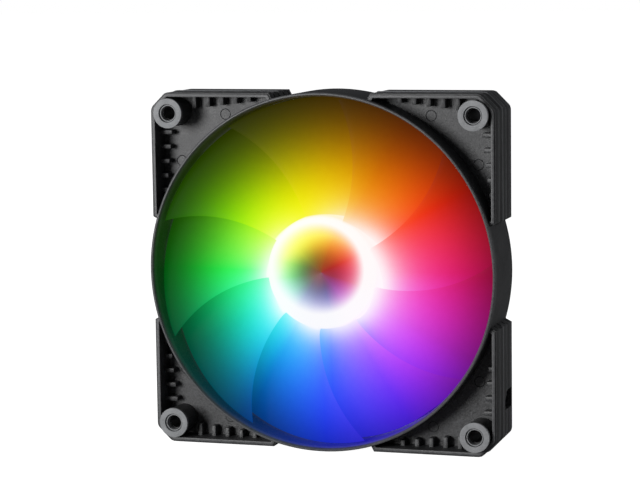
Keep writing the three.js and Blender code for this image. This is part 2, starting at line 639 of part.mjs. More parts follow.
const makeSeal = () =>
  ring(SHAFT_RADIUS + 2 * SEAT_GAP, SLEEVE_RADIUS, SEAL_FRONT, SEAL_FRONT + SEAL_THICKNESS, BORE_SEGMENTS);

const makeThrustPad = () =>
  disc(SLEEVE_RADIUS, THRUST_PAD_FRONT, THRUST_PAD_FRONT + THRUST_PAD_THICKNESS, BORE_SEGMENTS);

const makeBearingCap = () => disc(SLEEVE_RADIUS, CAP_FRONT, BASE_RECESS - SEAT_GAP, BORE_SEGMENTS);

// ---- stator ----
// The plan of the stator: a ring on the bearing tube, and arms that end in curved shoes.
function statorPlan(front, back, armWidth, shoes) {
  const ringOuter = CORE_BORE_RADIUS + CORE_RING_WALL;
  const shoeInner = CORE_RADIUS - POLE_SHOE_THICKNESS;
  const centre = ring(CORE_BORE_RADIUS, ringOuter, front, back, MOTOR_SEGMENTS);
  const arms = around(POLE_COUNT, (i, angle) => {
    const armEnd = (shoeInner + CORE_RADIUS) / 2;
    const arm = block(ringOuter - 1, armEnd, front, back, -armWidth / 2, armWidth / 2);
    if (!shoes) return spun(arm, angle);
    const shoe = new THREE.Shape();
    const half = radians(POLE_SHOE_SPAN / 2);
    shoe.absarc(0, 0, CORE_RADIUS, -half, half, false);
    shoe.absarc(0, 0, shoeInner, half, -half, true);
    return spun(arm.add(slab(shoe, front, back, ARC_STEPS)), angle);
  });
  return joined([centre, ...arms]);
}

const makeCore = () => statorPlan(CORE_FRONT, CORE_BACK, POLE_ARM_WIDTH, true);

const makeInsulator = (front) => statorPlan(front, front + INSULATOR_THICKNESS, POLE_ARM_WIDTH, true);

// One winding: a squared tube of wire round one arm and both insulators.
function makeCoil() {
  const windowFront = CORE_FRONT - INSULATOR_THICKNESS - 2 * SEAT_GAP;
  const windowBack = CORE_BACK + INSULATOR_THICKNESS + 2 * SEAT_GAP;
  const windowHalf = POLE_ARM_WIDTH / 2 + SEAT_GAP;
  const outerHalf = windowHalf + COIL_THICKNESS;
  const inner = CORE_BORE_RADIUS + CORE_RING_WALL + 2 * SEAT_GAP;
  const outer = Math.sqrt((CORE_RADIUS - POLE_SHOE_THICKNESS) ** 2 - outerHalf ** 2) - 3 * SEAT_GAP;
  const turns = block(inner, outer, windowFront - COIL_THICKNESS, windowBack + COIL_THICKNESS,
    -outerHalf, outerHalf);
  return turns.subtract(block(0, 2 * outer, windowFront, windowBack, -windowHalf, windowHalf));
}

// ---- circuit board ----
const makeBoard = () =>
  ring(TUBE_RADIUS + SEAT_GAP, BOARD_RADIUS, BOARD_FRONT, BOARD_BACK, HUB_SEGMENTS);

// A small part on the board's front face, with its size across, along the radius and off the board.
function onBoard(radius, angle, [across, outward, height]) {
  const back = BOARD_FRONT - SEAT_GAP;
  const [near, far] = [radius - outward / 2, radius + outward / 2];
  return spun(block(near, far, back - height, back, -across / 2, across / 2), angle);
}

const makeLed = (angle) => onBoard(LED_RADIUS, angle, [LED_SIZE, LED_SIZE, LED_HEIGHT]);

const makeLabel = () =>
  disc(LABEL_RADIUS, BASE_RECESS + SEAT_GAP, BASE_RECESS + SEAT_GAP + LABEL_THICKNESS, MOTOR_SEGMENTS);

// ---- finishes ----
const finish = (color, roughness, metalness = 0) =>
  new THREE.MeshStandardMaterial({ color, roughness, metalness });

const FINISHES = {
  housing: finish(0x1c1d1f, 0.5),
  frosted: finish(0xf2f4f6, 0.35),
  pad: finish(0x84898c, 0.8),
  steel: finish(0x9a9da1, 0.35, 1),
  magnet: finish(0x2a2826, 0.75),
  brass: finish(0xb5964f, 0.35, 1),
  bronze: finish(0x8a6035, 0.5, 1),
  laminate: finish(0x5f6266, 0.5, 1),
  copper: finish(0xa65a2c, 0.35, 1),
  nylon: finish(0xe4e2da, 0.6),
  board: finish(0x14201a, 0.55),
  chip: finish(0x17181a, 0.5),
  ceramic: finish(0x9a8263, 0.5),
  led: finish(0xf6f5ee, 0.3),
  label: finish(0xa9acb0, 0.4),
};

// ---- assembly ----
const fan = new THREE.Group();

function place(group, name, solid, slot) {
  const mesh = new THREE.Mesh(geometryOf(solid), FINISHES[slot]);
  mesh.name = name;
  group.add(mesh);
  return mesh;
}

place(fan, "frame", makeFrame(), "housing");

const CORNER_NAMES = ["upper_right", "upper_left", "lower_left", "lower_right"];
const pad = makePad();
CORNER_NAMES.forEach((corner, i) => {
  const angle = 45 + 90 * i;
  const reach = HOLE_PLACE * Math.SQRT2;
  const [x, z] = [reach * Math.cos(radians(angle)), reach * Math.sin(radians(angle))];
  place(fan, `front_pad_${corner}`, pad, "pad").position.set(x, 0, z);
  const rear = place(fan, `rear_pad_${corner}`, pad, "pad");
  rear.position.set(x, 0, z);
  rear.rotation.x = Math.PI;
});

const rotor = new THREE.Group();
fan.add(rotor);
place(rotor, "impeller", makeImpeller(), "frosted");
place(rotor, "rotor_yoke", makeYoke(), "steel");
place(rotor, "ring_magnet", makeMagnet(), "magnet");
place(rotor, "shaft_collar", makeCollar(), "brass");
place(rotor, "shaft", makeShaft(), "steel");
place(rotor, "shaft_clip", makeClip(), "steel");

place(fan, "oil_seal", makeSeal(), "nylon");
place(fan, "bearing_sleeve", makeSleeve(), "bronze");
place(fan, "thrust_pad", makeThrustPad(), "nylon");
place(fan, "bearing_cap", makeBearingCap(), "nylon");

place(fan, "stator_core", makeCore(), "laminate");
place(fan, "front_insulator", makeInsulator(CORE_FRONT - INSULATOR_THICKNESS - SEAT_GAP), "nylon");
place(fan, "rear_insulator", makeInsulator(CORE_BACK + SEAT_GAP), "nylon");
const coil = makeCoil();
around(POLE_COUNT, (i, angle) => place(fan, `coil_${i + 1}`, spun(coil, angle), "copper"));

place(fan, "circuit_board", makeBoard(), "board");
around(LED_COUNT, (i, angle) => place(fan, `led_${i + 1}`, makeLed(angle), "led"));
for (const { name, inset, angle, size, slot } of SMALL_PARTS) {
  place(fan, name, onBoard(BOARD_RADIUS - inset, angle, size), slot);
}
place(fan, "rear_label", makeLabel(), "label");

export default fan;
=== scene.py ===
# %% [markdown]
# # A lit case fan
#
# This lesson builds the looks of a 120 mm computer case fan round a frame of exact CAD solids. The real fan
# is a black moulded frame with rubber pads on its corners, and a frosted impeller that is lit from its hub
# by a ring of coloured lamps. The CAD solids fix every size and every moving body. Each step below makes one
# piece of the fan finer than its solid, or gives a solid its finish.
#
# The frame comes first. The CAD model's box is kept, and printed at the end.

# %% Load the frame
import math

import bmesh
import bpy
from mathutils import Matrix, Vector


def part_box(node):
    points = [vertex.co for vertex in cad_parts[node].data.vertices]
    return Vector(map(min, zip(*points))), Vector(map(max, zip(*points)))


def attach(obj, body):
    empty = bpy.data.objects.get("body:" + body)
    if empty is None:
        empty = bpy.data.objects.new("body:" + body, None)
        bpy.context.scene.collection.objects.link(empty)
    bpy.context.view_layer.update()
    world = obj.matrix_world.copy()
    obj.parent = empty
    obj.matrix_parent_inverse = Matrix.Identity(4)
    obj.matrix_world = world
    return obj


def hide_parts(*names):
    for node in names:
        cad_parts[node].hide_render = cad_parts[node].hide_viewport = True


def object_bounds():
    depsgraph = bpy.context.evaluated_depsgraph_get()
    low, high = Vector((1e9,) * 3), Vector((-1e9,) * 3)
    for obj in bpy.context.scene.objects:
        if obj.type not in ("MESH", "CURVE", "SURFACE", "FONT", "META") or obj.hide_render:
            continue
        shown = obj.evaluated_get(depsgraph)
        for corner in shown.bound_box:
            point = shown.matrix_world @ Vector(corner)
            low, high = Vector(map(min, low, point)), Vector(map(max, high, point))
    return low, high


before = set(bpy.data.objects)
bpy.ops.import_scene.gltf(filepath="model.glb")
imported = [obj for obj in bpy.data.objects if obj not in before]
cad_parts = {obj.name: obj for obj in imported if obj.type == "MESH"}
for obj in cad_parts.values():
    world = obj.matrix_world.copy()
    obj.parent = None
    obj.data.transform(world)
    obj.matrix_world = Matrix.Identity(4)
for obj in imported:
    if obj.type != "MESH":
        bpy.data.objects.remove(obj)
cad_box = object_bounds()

# %% [markdown]
# The fan's axis is Y, and its intake faces -Y. Places along the axis read most easily as a depth behind the
# front pads, as on a drawing, so one helper turns such a depth into Y. Sizes are written in millimetres and
# scaled once, where a mesh is made.

# %% Sizes and places
MM = 0.001
DEPTH = 25
FRONT_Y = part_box("front_pad_upper_right")[0].y / MM


def station(depth):
    return FRONT_Y + depth


def quarter_turns(count=4):
    return [Matrix.Rotation(-2 * math.pi * i / count, 4, "Y") for i in range(count)]


print("front pads at Y =", round(FRONT_Y, 2), "mm")

# %% [markdown]
# Most pieces of a fan are turned or extruded. A turned piece starts as a closed outline of radius and depth,
# which bmesh's spin carries round the axis. An extruded piece starts as a flat outline across the axis. Both
# leave knife edges, and no moulding has those, so a bevel on every sharp edge follows. One function ends
# each piece: it merges what met, turns the faces outwards, scales to metres and shades by angle.

# %% Helpers that turn, extrude and soften
SMOOTH_ANGLE = math.radians(32)


def cleaned(mesh):
    bmesh.ops.remove_doubles(mesh, verts=mesh.verts, dist=1e-4)
    bmesh.ops.recalc_face_normals(mesh, faces=mesh.faces)
    return mesh


def softened(mesh, width, segments=2, sharper_than=28):
    limit = math.radians(sharper_than)
    sharp = [e for e in mesh.edges if e.is_manifold and e.calc_face_angle(0) > limit]
    bmesh.ops.bevel(
        mesh, geom=sharp, offset=width, offset_type="OFFSET", segments=segments, profile=0.5,
        affect="EDGES", clamp_overlap=True, material=-1,
    )
    return mesh


def turned(outline, steps=128, soft=0.0, segments=2):
    mesh = bmesh.new()
    points = [mesh.verts.new((radius, station(depth), 0)) for radius, depth in outline]
    sides = zip(points, points[1:] + points[:1])
    edges = [mesh.edges.new((a, b)) for a, b in sides if a.co.x or b.co.x]
    bmesh.ops.spin(
        mesh, geom=points + edges, cent=(0, 0, 0), axis=(0, 1, 0), dvec=(0, 0, 0),
        angle=2 * math.pi, steps=steps, use_merge=True, use_duplicate=False,
    )
    cleaned(mesh)
    return softened(mesh, soft, segments) if soft else mesh


def pulled(mesh, faces, offset):
    grown = bmesh.ops.extrude_face_region(mesh, geom=faces)["geom"]
    far = [item for item in grown if isinstance(item, bmesh.types.BMVert)]
    bmesh.ops.translate(mesh, vec=offset, verts=far)
    return mesh


def extruded(outline, front, back, soft=0.0, segments=2):
    mesh = bmesh.new()
    face = mesh.faces.new([mesh.verts.new((x, station(front), z)) for x, z in outline])
    cleaned(pulled(mesh, [face], (0, back - front, 0)))
    return softened(mesh, soft, segments) if soft else mesh


def piece(name, mesh):
    data = bpy.data.meshes.new(name)
    bmesh.ops.scale(mesh, vec=(MM, MM, MM), verts=mesh.verts)
    mesh.to_mesh(data)
    mesh.free()
    data.shade_smooth()
    data.set_sharp_from_angle(angle=SMOOTH_ANGLE)
    made = bpy.data.objects.new(name, data)
    bpy.context.scene.collection.objects.link(made)
    return made


def merged(meshes):
    whole = bmesh.new()
    for mesh in meshes:
        data = bpy.data.meshes.new("part")
        mesh.to_mesh(data)
        mesh.free()
        whole.from_mesh(data)
        bpy.data.meshes.remove(data)
    return whole


def moved(mesh, matrix):
    bmesh.ops.transform(mesh, matrix=matrix, verts=mesh.verts)
    return mesh


# %% [markdown]
# A moulding is one body, so its walls, ribs and bosses have to become one skin. The Boolean modifier does
# that when its result is kept as the mesh. Each step takes a list of solids to join to a piece or to cut
# from it, and the solids used are thrown away.

# %% A helper that joins and cuts
def combined(name, first, steps):
    base = piece(name, first)
    tools = []
    for operation, mesh in steps:
        tool = piece("tool", mesh)
        tools.append(tool)
        modifier = base.modifiers.new(operation, "BOOLEAN")
        modifier.operation = operation
        modifier.solver = "MANIFOLD"
        modifier.object = tool
    graph = bpy.context.evaluated_depsgraph_get()
    result = bpy.data.meshes.new_from_object(base.evaluated_get(graph))
    base.modifiers.clear()
    base.data = result
    for tool in tools:
        bpy.data.objects.remove(tool)
    result.shade_smooth()
    result.set_sharp_from_angle(angle=SMOOTH_ANGLE)
    print(name, len(result.polygons), "faces")
    return base


# %% [markdown]
# The frame's largest shape is its duct, a thin round wall with a rounded front rim and a mouth that widens
# towards the air. At the outlet end a narrow ring stands into the bore and carries the struts. It could be
# two cylinders and a cut, but one turned outline holds all of it, with its rounded rims.

# %% The round duct
DUCT_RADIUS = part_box("frame")[1].x / MM
DUCT_WALL = 1.4
BORE_RADIUS = DUCT_RADIUS - DUCT_WALL
FLARE = 0.6
LIP = 1.0
FRAME_BACK = DEPTH - 0.6
STRUT_FRONT = 20.3
RIM = 0.45
RING_TAPER = 2.5
MOUTH_DEPTH = 2.5

duct_outline = [
    (BORE_RADIUS + FLARE, 0.12), (BORE_RADIUS + FLARE + 0.12, 0), (DUCT_RADIUS - RIM, 0),
    (DUCT_RADIUS - 0.2, 0.1), (DUCT_RADIUS - 0.06, 0.25), (DUCT_RADIUS, 0.5),
    (DUCT_RADIUS, FRAME_BACK - RIM), (DUCT_RADIUS - 0.13, FRAME_BACK - 0.13),
    (DUCT_RADIUS - RIM, FRAME_BACK), (BORE_RADIUS - LIP + FLARE, FRAME_BACK),
    (BORE_RADIUS - LIP, FRAME_BACK - RING_TAPER), (BORE_RADIUS - LIP, STRUT_FRONT),
    (BORE_RADIUS, STRUT_FRONT - LIP), (BORE_RADIUS, MOUTH_DEPTH), (BORE_RADIUS + FLARE * 0.4, 1.1),
]
duct = turned(duct_outline, steps=256)
print("duct", len(duct.faces), "faces, outer radius", round(DUCT_RADIUS, 2), "mm")

# %% [markdown]
# Each corner is a thin wall that leaves the duct on a short slant, runs along one side, turns across a
# chamfer and runs back down the next side. Its outside has a stepped rim, a proud bead and three grooves. A
# wall like that is a section carried along a path: the section's face is extruded from one station of the
# path to the next, and each station's matrix mitres it to the bend.

# %% A section carried along a path
def mitred_stations(path):
    spans = [(Vector(b) - Vector(a)).normalized() for a, b in zip(path, path[1:])]
    matrices = []
    for i, (x, z) in enumerate(path):
        before, after = spans[max(i - 1, 0)], spans[min(i, len(spans) - 1)]
        inward = Vector((before.y + after.y, -before.x - after.x)) / (1 + before.dot(after))
        along = (before + after).normalized()
        matrices.append(Matrix((
            (inward.x, 0, along.x, x), (0, 1, 0, 0), (inward.y, 0, along.y, z), (0, 0, 0, 1),
        )))
    return matrices


def carried(section, path, soft):
    mesh = bmesh.new()
    face = mesh.faces.new([mesh.verts.new((inward, station(depth), 0)) for inward, depth in section])
    matrices = mitred_stations(path)
    moved(mesh, matrices[0])
    for here, there in zip(matrices, matrices[1:]):
        grown = bmesh.ops.extrude_face_region(mesh, geom=[face, *face.edges])["geom"]
        face = next(g for g in grown if isinstance(g, bmesh.types.BMFace))
        bmesh.ops.transform(mesh, matrix=there @ here.inverted(), verts=face.verts[:])
    cleaned(mesh)
    return softened(mesh, soft)


def rounded_bend(start, corner, end, steps=6):
    start, corner, end = Vector(start), Vector(corner), Vector(end)
    points = []
    for i in range(steps + 1):
        t = i / steps
        points.append(tuple(start.lerp(corner, t).lerp(corner.lerp(end, t), t)))
    return points


# %% The corner's wall
HALF_SPAN = DUCT_RADIUS - 0.35
WALL = 1.5
WALL_FRONT = 2.2
WALL_END = 17.5
SLANT = 1.6
CHAMFER = HALF_SPAN - 5.2
BEND = 1.4
BEAD_DEPTH = 11.3
FRONT_GROOVE = 6.4
REAR_GROOVES = (16.2, 21.3)
LINE_WIDTH = 0.9
BEAD_HEIGHT = 0.25
GROOVE_CUT = 0.45
STEP_CUT = 0.45
STEP_BACK = WALL_FRONT + 0.5


def line(depth, height, draft):
    end = depth + LINE_WIDTH
    return [(0, depth), (-height, depth + draft), (-height, end - draft), (0, end)]


def groove(depth):
    return line(depth, -GROOVE_CUT, 0.15)


wall_section = [(WALL, FRAME_BACK), (WALL, WALL_FRONT), (STEP_CUT, WALL_FRONT), (STEP_CUT, STEP_BACK)]
wall_section += [(0, STEP_BACK), *groove(FRONT_GROOVE), *line(BEAD_DEPTH, BEAD_HEIGHT, 0.05)]
for depth in REAR_GROOVES:
    wall_section += groove(depth)
wall_section.append((0, FRAME_BACK))

wall_path = [(WALL_END - SLANT, HALF_SPAN - SLANT - WALL), (WALL_END, HALF_SPAN)]
bend_end = (CHAMFER + BEND / 2, HALF_SPAN - BEND / 2)
wall_path += rounded_bend((CHAMFER - BEND, HALF_SPAN), (CHAMFER, HALF_SPAN), bend_end)
wall_path += [(z, x) for x, z in reversed(wall_path)]
corner_wall = carried(wall_section, wall_path, soft=0.1)
print("corner wall", len(corner_wall.faces), "faces")

# %% [markdown]
# Halfway through each corner a thin plate joins the wall to the duct, and makes a pocket on both sides. Its
# outline is the wall's own path moved in to the middle of the wall, closed by an arc inside the duct's wall,
# so the three overlap and join cleanly. Two shallow round marks show where ejector pins pushed the moulding
# out of its tool.

# %% The corner's plate, its marks and its ribs
WEB_FRONT = 11
WEB_BACK = 13
MIDDLE = WALL / 2
ARC_STEPS = 24


def plate_outline():
    inset = [matrix @ Vector((MIDDLE, 0, 0)) for matrix in mitred_stations(wall_path)]
    outline = [(point.x, point.z) for point in inset]
    first, last = (math.atan2(z, x) for x, z in (outline[-1], outline[0]))
    radius = DUCT_RADIUS - DUCT_WALL / 2
    for i in range(ARC_STEPS + 1):
        angle = first + (last - first) * i / ARC_STEPS
        outline.append((radius * math.cos(angle), radius * math.sin(angle)))
    return outline


plate = extruded(plate_outline(), WEB_FRONT, WEB_BACK)


def at(mesh, x, z):
    return moved(mesh, Matrix.Translation((x, 0, z)))


MARK_RADIUS = 1.9
mark_places = [(HALF_SPAN - 23.6, HALF_SPAN - 7.7), (HALF_SPAN - 7.7, HALF_SPAN - 23.6)]
mark_outline = [
    (MARK_RADIUS - 0.3, WEB_FRONT - 1), (MARK_RADIUS, WEB_FRONT - 1), (MARK_RADIUS, WEB_FRONT),
    (MARK_RADIUS - 0.15, WEB_FRONT + 0.14), (MARK_RADIUS - 0.3, WEB_FRONT),
]
marks = merged([at(turned(mark_outline, 40), x, z) for x, z in mark_places])

RIB_WIDTH = 1.5
RIB_HEIGHT = 3.6
RIB_PITCH = 4.9
RIB_COUNT = 5
LONGEST_RIB = 4.1
RIB_SHORTENING = 0.55
FIRST_RIB = HALF_SPAN - 13.7


def rib(place, length, front, back):
    tip = HALF_SPAN - WALL - length
    root = HALF_SPAN - MIDDLE
    half = RIB_WIDTH / 2
    outline = [(place - half, root), (place - half, tip), (place + half, tip), (place + half, root)]
    return extruded(outline, front, back, soft=0.22)


def ribs():
    made = []
    flip = Matrix(((0, 0, 1, 0), (0, 1, 0, 0), (1, 0, 0, 0), (0, 0, 0, 1)))
    for i in range(RIB_COUNT):
        place, length = FIRST_RIB - RIB_PITCH * i, LONGEST_RIB - RIB_SHORTENING * i
        bars = [rib(place, length, WEB_FRONT - RIB_HEIGHT, WEB_BACK + RIB_HEIGHT) for side in range(2)]
        moved(bars[1], flip)
        bmesh.ops.reverse_faces(bars[1], faces=bars[1].faces)
        made += bars
    return merged(made)


corner_ribs = ribs()
print("ribs", len(corner_ribs.faces), "faces")

# %% [markdown]
# A round boss stands in each corner for the fan's screw. It is counterbored at both ends for a rubber pad's
# spigot. It is turned on the fan's axis and then carried out to the corner, and the bore is a second turned
# solid that is cut from everything it passes through.

# %% The screw boss and its bore
PAD_LOW, PAD_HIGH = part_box("front_pad_upper_right")
HOLE_PLACE = (PAD_LOW.x + PAD_HIGH.x) / 2 / MM
PAD_RADIUS = (PAD_HIGH.x - PAD_LOW.x) / 2 / MM
SEAT_RADIUS = 3.7
SEAT_DEPTH = 3.3
BOSS_FRONT = 1.3
BOSS_BACK = 23.7
BOSS_RADIUS = 4.7
BOSS_EDGE = 0.25
HOLE_RADIUS = 2.2
PAD_EASE = 0.1

boss_outline = [
    (0, BOSS_FRONT), (BOSS_RADIUS - BOSS_EDGE, BOSS_FRONT), (BOSS_RADIUS, BOSS_FRONT + BOSS_EDGE),
    (BOSS_RADIUS, BOSS_BACK - BOSS_EDGE), (BOSS_RADIUS - BOSS_EDGE, BOSS_BACK), (0, BOSS_BACK),
]
boss = at(turned(boss_outline, 64), HOLE_PLACE, HOLE_PLACE)
bore_outline = [
    (0, -1), (SEAT_RADIUS, -1), (SEAT_RADIUS, SEAT_DEPTH), (HOLE_RADIUS, SEAT_DEPTH),
    (HOLE_RADIUS, DEPTH - SEAT_DEPTH), (SEAT_RADIUS, DEPTH - SEAT_DEPTH), (SEAT_RADIUS, DEPTH - BOSS_FRONT),
    (PAD_RADIUS + PAD_EASE, DEPTH - BOSS_FRONT), (PAD_RADIUS + PAD_EASE, DEPTH + 1), (0, DEPTH + 1),
]
bore = at(turned(bore_outline, 64), HOLE_PLACE, HOLE_PLACE)

corner = combined("corner", corner_wall, [
    ("UNION", plate), ("UNION", boss), ("UNION", corner_ribs), ("DIFFERENCE", marks), ("DIFFERENCE", bore),
])

# %% [markdown]
# Behind the blades, seven bowed struts reach from the duct's rear ring to the motor base. Their bow lets
# each blade pass a strut little by little, which keeps the fan quiet. Each is an outline along a curve,
# extruded and then softened on its long edges. One is wide, because the cable lies in a channel behind it.

# %% The struts and the motor base
BASE_RADIUS = 20.4
BASE_WALL = 1.2
BASE_BACK = FRAME_BACK + 0.5
BASE_RIM = BASE_BACK - 6.2
BASE_FLOOR = BASE_BACK - 2
LABEL_RADIUS = 16.9
TUBE_RADIUS = 4.4
TUBE_BORE = 3.45
TUBE_FRONT = 8.4
STRUT_BOW = 7
STRUT_COUNT = 7
STRUT_WIDTH = 2.3
CABLE_STRUT_WIDTH = 6.4
CABLE_ANGLE = -36
LABEL_SEAT = BASE_BACK - 0.4
POST_FRONT = 21.4
POST_RADIUS = 1


def bowed(width, inner, outer, steps=20):
    start, end = Vector((inner, 0)), Vector((outer, 0))
    bow = Vector(((inner + outer) / 2, STRUT_BOW))
    left, right = [], []
    for i in range(steps + 1):
        t = i / steps
        point = start.lerp(bow, t).lerp(bow.lerp(end, t), t)
        along = (bow.lerp(end, t) - start.lerp(bow, t)).normalized()
        across = Vector((along.y, -along.x)) * width / 2
        left.append(tuple(point + across))
        right.append(tuple(point - across))
    return left + right[::-1]


def about_axis(mesh, degrees):
    return moved(mesh, Matrix.Rotation(-math.radians(degrees), 4, "Y"))


inner, outer = BASE_RADIUS - BASE_WALL / 2, DUCT_RADIUS - DUCT_WALL / 2
reach = turned([(inner, STRUT_FRONT - 1), (outer, STRUT_FRONT - 1), (outer, DEPTH), (inner, DEPTH)], 256)
strut_bars = []
for i in range(STRUT_COUNT):
    width = CABLE_STRUT_WIDTH if i == 0 else STRUT_WIDTH
    outline = bowed(width, inner - width, outer + width)
    bar = extruded(outline, STRUT_FRONT, FRAME_BACK, soft=0.45, segments=3)
    strut_bars.append(about_axis(bar, CABLE_ANGLE + 360 / STRUT_COUNT * i))
struts = combined("struts", merged(strut_bars), [("INTERSECT", reach)])

base_outline = [
    (BASE_RADIUS - BASE_WALL, BASE_RIM), (BASE_RADIUS, BASE_RIM), (BASE_RADIUS, BASE_BACK - 0.8),
    (BASE_RADIUS - 0.25, BASE_BACK - 0.25), (BASE_RADIUS - 0.8, BASE_BACK), (LABEL_RADIUS, BASE_BACK),
    (LABEL_RADIUS, LABEL_SEAT), (TUBE_BORE, LABEL_SEAT), (TUBE_BORE, TUBE_FRONT), (TUBE_RADIUS, TUBE_FRONT),
    (TUBE_RADIUS, BASE_FLOOR), (BASE_RADIUS - BASE_WALL, BASE_FLOOR),
]
base = turned(base_outline, 160, soft=0.12)
post_place = (TUBE_RADIUS + 19) / 2
post_foot = BASE_FLOOR + 0.1
post_outline = [(0, POST_FRONT), (POST_RADIUS, POST_FRONT), (POST_RADIUS, post_foot), (0, post_foot)]
posts = []
for i in range(3):
    post = at(turned(post_outline, 32, soft=0.1), post_place, 0)
    posts.append(about_axis(post, 30 + 120 * i))
print("struts", len(strut_bars), "base radius", BASE_RADIUS, "mm")

# %% [markdown]
# The cable's way out is cut last: the channel behind the wide strut, and a window in the right wall of the
# lower right corner. A small tab behind the window would keep the cable in its place. Then every piece of
# the frame is joined into the one moulding that it is.

# %% The cable's way, and the whole frame
WINDOW_LOW = 13.7 - HALF_SPAN
WINDOW_HIGH = WINDOW_LOW + 6.3
WINDOW_FRONT = 14.6
WINDOW_BACK = 23.2
WINDOW_SLANT = 3
CHANNEL_WIDTH = 4.2
CHANNEL_CUT = 2.6
channel = bowed(CHANNEL_WIDTH, BASE_RADIUS - 2 * BASE_WALL, DUCT_RADIUS + DUCT_WALL)
cable_way = about_axis(extruded(channel, FRAME_BACK - CHANNEL_CUT, DEPTH + 1), CABLE_ANGLE)

window = bmesh.new()
window_outline = [
    (WINDOW_FRONT, WINDOW_LOW), (WINDOW_BACK, WINDOW_LOW), (WINDOW_BACK, WINDOW_HIGH),
    (WINDOW_FRONT + WINDOW_SLANT, WINDOW_HIGH), (WINDOW_FRONT, WINDOW_HIGH - WINDOW_SLANT),
]
face = window.faces.new([window.verts.new((HALF_SPAN - 6.6, station(y), z)) for y, z in window_outline])
cleaned(pulled(window, [face], (7.6, 0, 0)))

tab_low, tab_high = HALF_SPAN - 6.4, HALF_SPAN - MIDDLE
TAB_FOOT = WINDOW_LOW - 1.8
tab = extruded(
    [(tab_low, TAB_FOOT), (tab_high, TAB_FOOT), (tab_high, WINDOW_HIGH), (tab_low, WINDOW_HIGH)],
    WINDOW_BACK, FRAME_BACK, soft=0.2,
)


def copy_of(thing):
    mesh = bmesh.new()
    mesh.from_mesh(thing.data)
    bmesh.ops.scale(mesh, vec=(1 / MM, 1 / MM, 1 / MM), verts=mesh.verts)
    return mesh


corners = [moved(copy_of(corner), turn) for turn in quarter_turns()]
trimming = turned([(0, -2), (outer, -2), (outer, DEPTH + 2), (0, DEPTH + 2)], 256)
corner_ring = combined("corner_ring", merged(corners), [("DIFFERENCE", trimming)])
moulded_frame = combined("moulded_frame", duct, [
    ("UNION", copy_of(corner_ring)), ("UNION", base), ("UNION", merged(posts)), ("UNION", copy_of(struts)),
    ("DIFFERENCE", cable_way), ("DIFFERENCE", window), ("UNION", tab),
])
for helper in (corner, corner_ring, struts):
    bpy.data.objects.remove(helper)

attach(moulded_frame, "housing")
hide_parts("frame")

# %% [markdown]
# The pads are soft grey rubber rings. Each has a flange that the case rests on, and a spigot that grips the
# boss's counterbore. A wider mouth leaves a thin dark step inside the ring. They are turned once, with every
# edge rounded more than the plastic's, and copied to the eight places that the CAD pads mark.

# %% The rubber pads
FLANGE = 1.2
SPIGOT_RADIUS = 3.6
SPIGOT_END = 3.2
MOUTH_RADIUS = 3.1
pad_outline = [
    (MOUTH_RADIUS, 0), (PAD_RADIUS, 0), (PAD_RADIUS, FLANGE), (SPIGOT_RADIUS, FLANGE),
    (SPIGOT_RADIUS, SPIGOT_END), (2.5, SPIGOT_END), (2.5, 0.6), (2.82, 0.6), (2.82, 1.6), (MOUTH_RADIUS, 1.6),
]
pads = []
for side in ("front", "rear"):
    for corner_name in ("upper_right", "upper_left", "lower_left", "lower_right"):
        node = f"{side}_pad_{corner_name}"
        low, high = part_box(node)
        ring = turned(pad_outline, 64, soft=0.1, segments=3)
        if side == "rear":
            moved(ring, Matrix.Rotation(math.pi, 4, "X"))
        at(ring, (low.x + high.x) / 2 / MM, (low.z + high.z) / 2 / MM)
        pad = piece(f"rubber_{node}", ring)
        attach(pad, "housing")
        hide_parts(node)
        pads.append(pad)
print(len(pads), "pads of radius", round(PAD_RADIUS, 2), "mm")

# %% [markdown]
# The impeller is one frosted moulding. Each blade is a twisted sheet: its leading edge is nearest the air,
# it falls back as it goes round, and its tip runs ahead of its root. A flat grid can be bent into that
# sheet, because every point of the grid stands for a radius and a share of the way across the blade. Two
# layers of the grid, joined round their rims, give it a thickness that swells in the middle, thins at the
# edges and spreads at the hub, where a moulding has a fillet.

# %% The blades
HUB_RADIUS = 19
HUB_FRONT = 2.4
HUB_BACK = BASE_RIM - 1
HUB_WALL = 1.4
BLADE_FRONT = 3.1
BLADE_BACK = STRUT_FRONT - 2.2
TIP_GAP = 0.5
TIP_RADIUS = BORE_RADIUS - TIP_GAP
BLADE_COUNT = 9
ROOT_SPAN, TIP_SPAN = 53, 62
TIP_LEAD = 13
TIP_SETBACK = 0.9
ROOT_THICKNESS, TIP_THICKNESS = 1.9, 1.0
HALF_EDGE = 0.25


def blade_point(radius, share):
    outward = (radius - HUB_RADIUS) / (TIP_RADIUS - HUB_RADIUS)
    span = ROOT_SPAN + (TIP_SPAN - ROOT_SPAN) * outward
    lead = span / 2 + TIP_LEAD * max(outward, 0) ** 1.5
    angle = math.radians(lead - span * share)
    front = BLADE_FRONT + TIP_SETBACK * max(outward, 0)
    depth = front + (BLADE_BACK - front) * max(share, 0) ** 1.2
    return Vector((radius * math.cos(angle), station(depth), radius * math.sin(angle)))


def blade_skin(radius, share, side):
    step = 1e-3
    inside = min(max(share, step), 1 - step)
    across = blade_point(radius, inside + step) - blade_point(radius, inside - step)
    outwards = blade_point(radius + step, inside) - blade_point(radius - step, inside)
    normal = across.cross(outwards).normalized()
    outward = (radius - HUB_RADIUS) / (TIP_RADIUS - HUB_RADIUS)
    thickness = ROOT_THICKNESS + (TIP_THICKNESS - ROOT_THICKNESS) * outward
    belly = (thickness / 2 - 0.2) * math.sin(math.pi * share ** 0.8)
    fillet = 0.9 * math.exp(-max(radius - HUB_RADIUS, 0) / 0.9)
    point = blade_point(radius, share) + normal * side * (HALF_EDGE + belly + fillet)
    reach = math.hypot(point.x, point.z)
    return Vector((point.x * radius / reach, point.y, point.z * radius / reach))


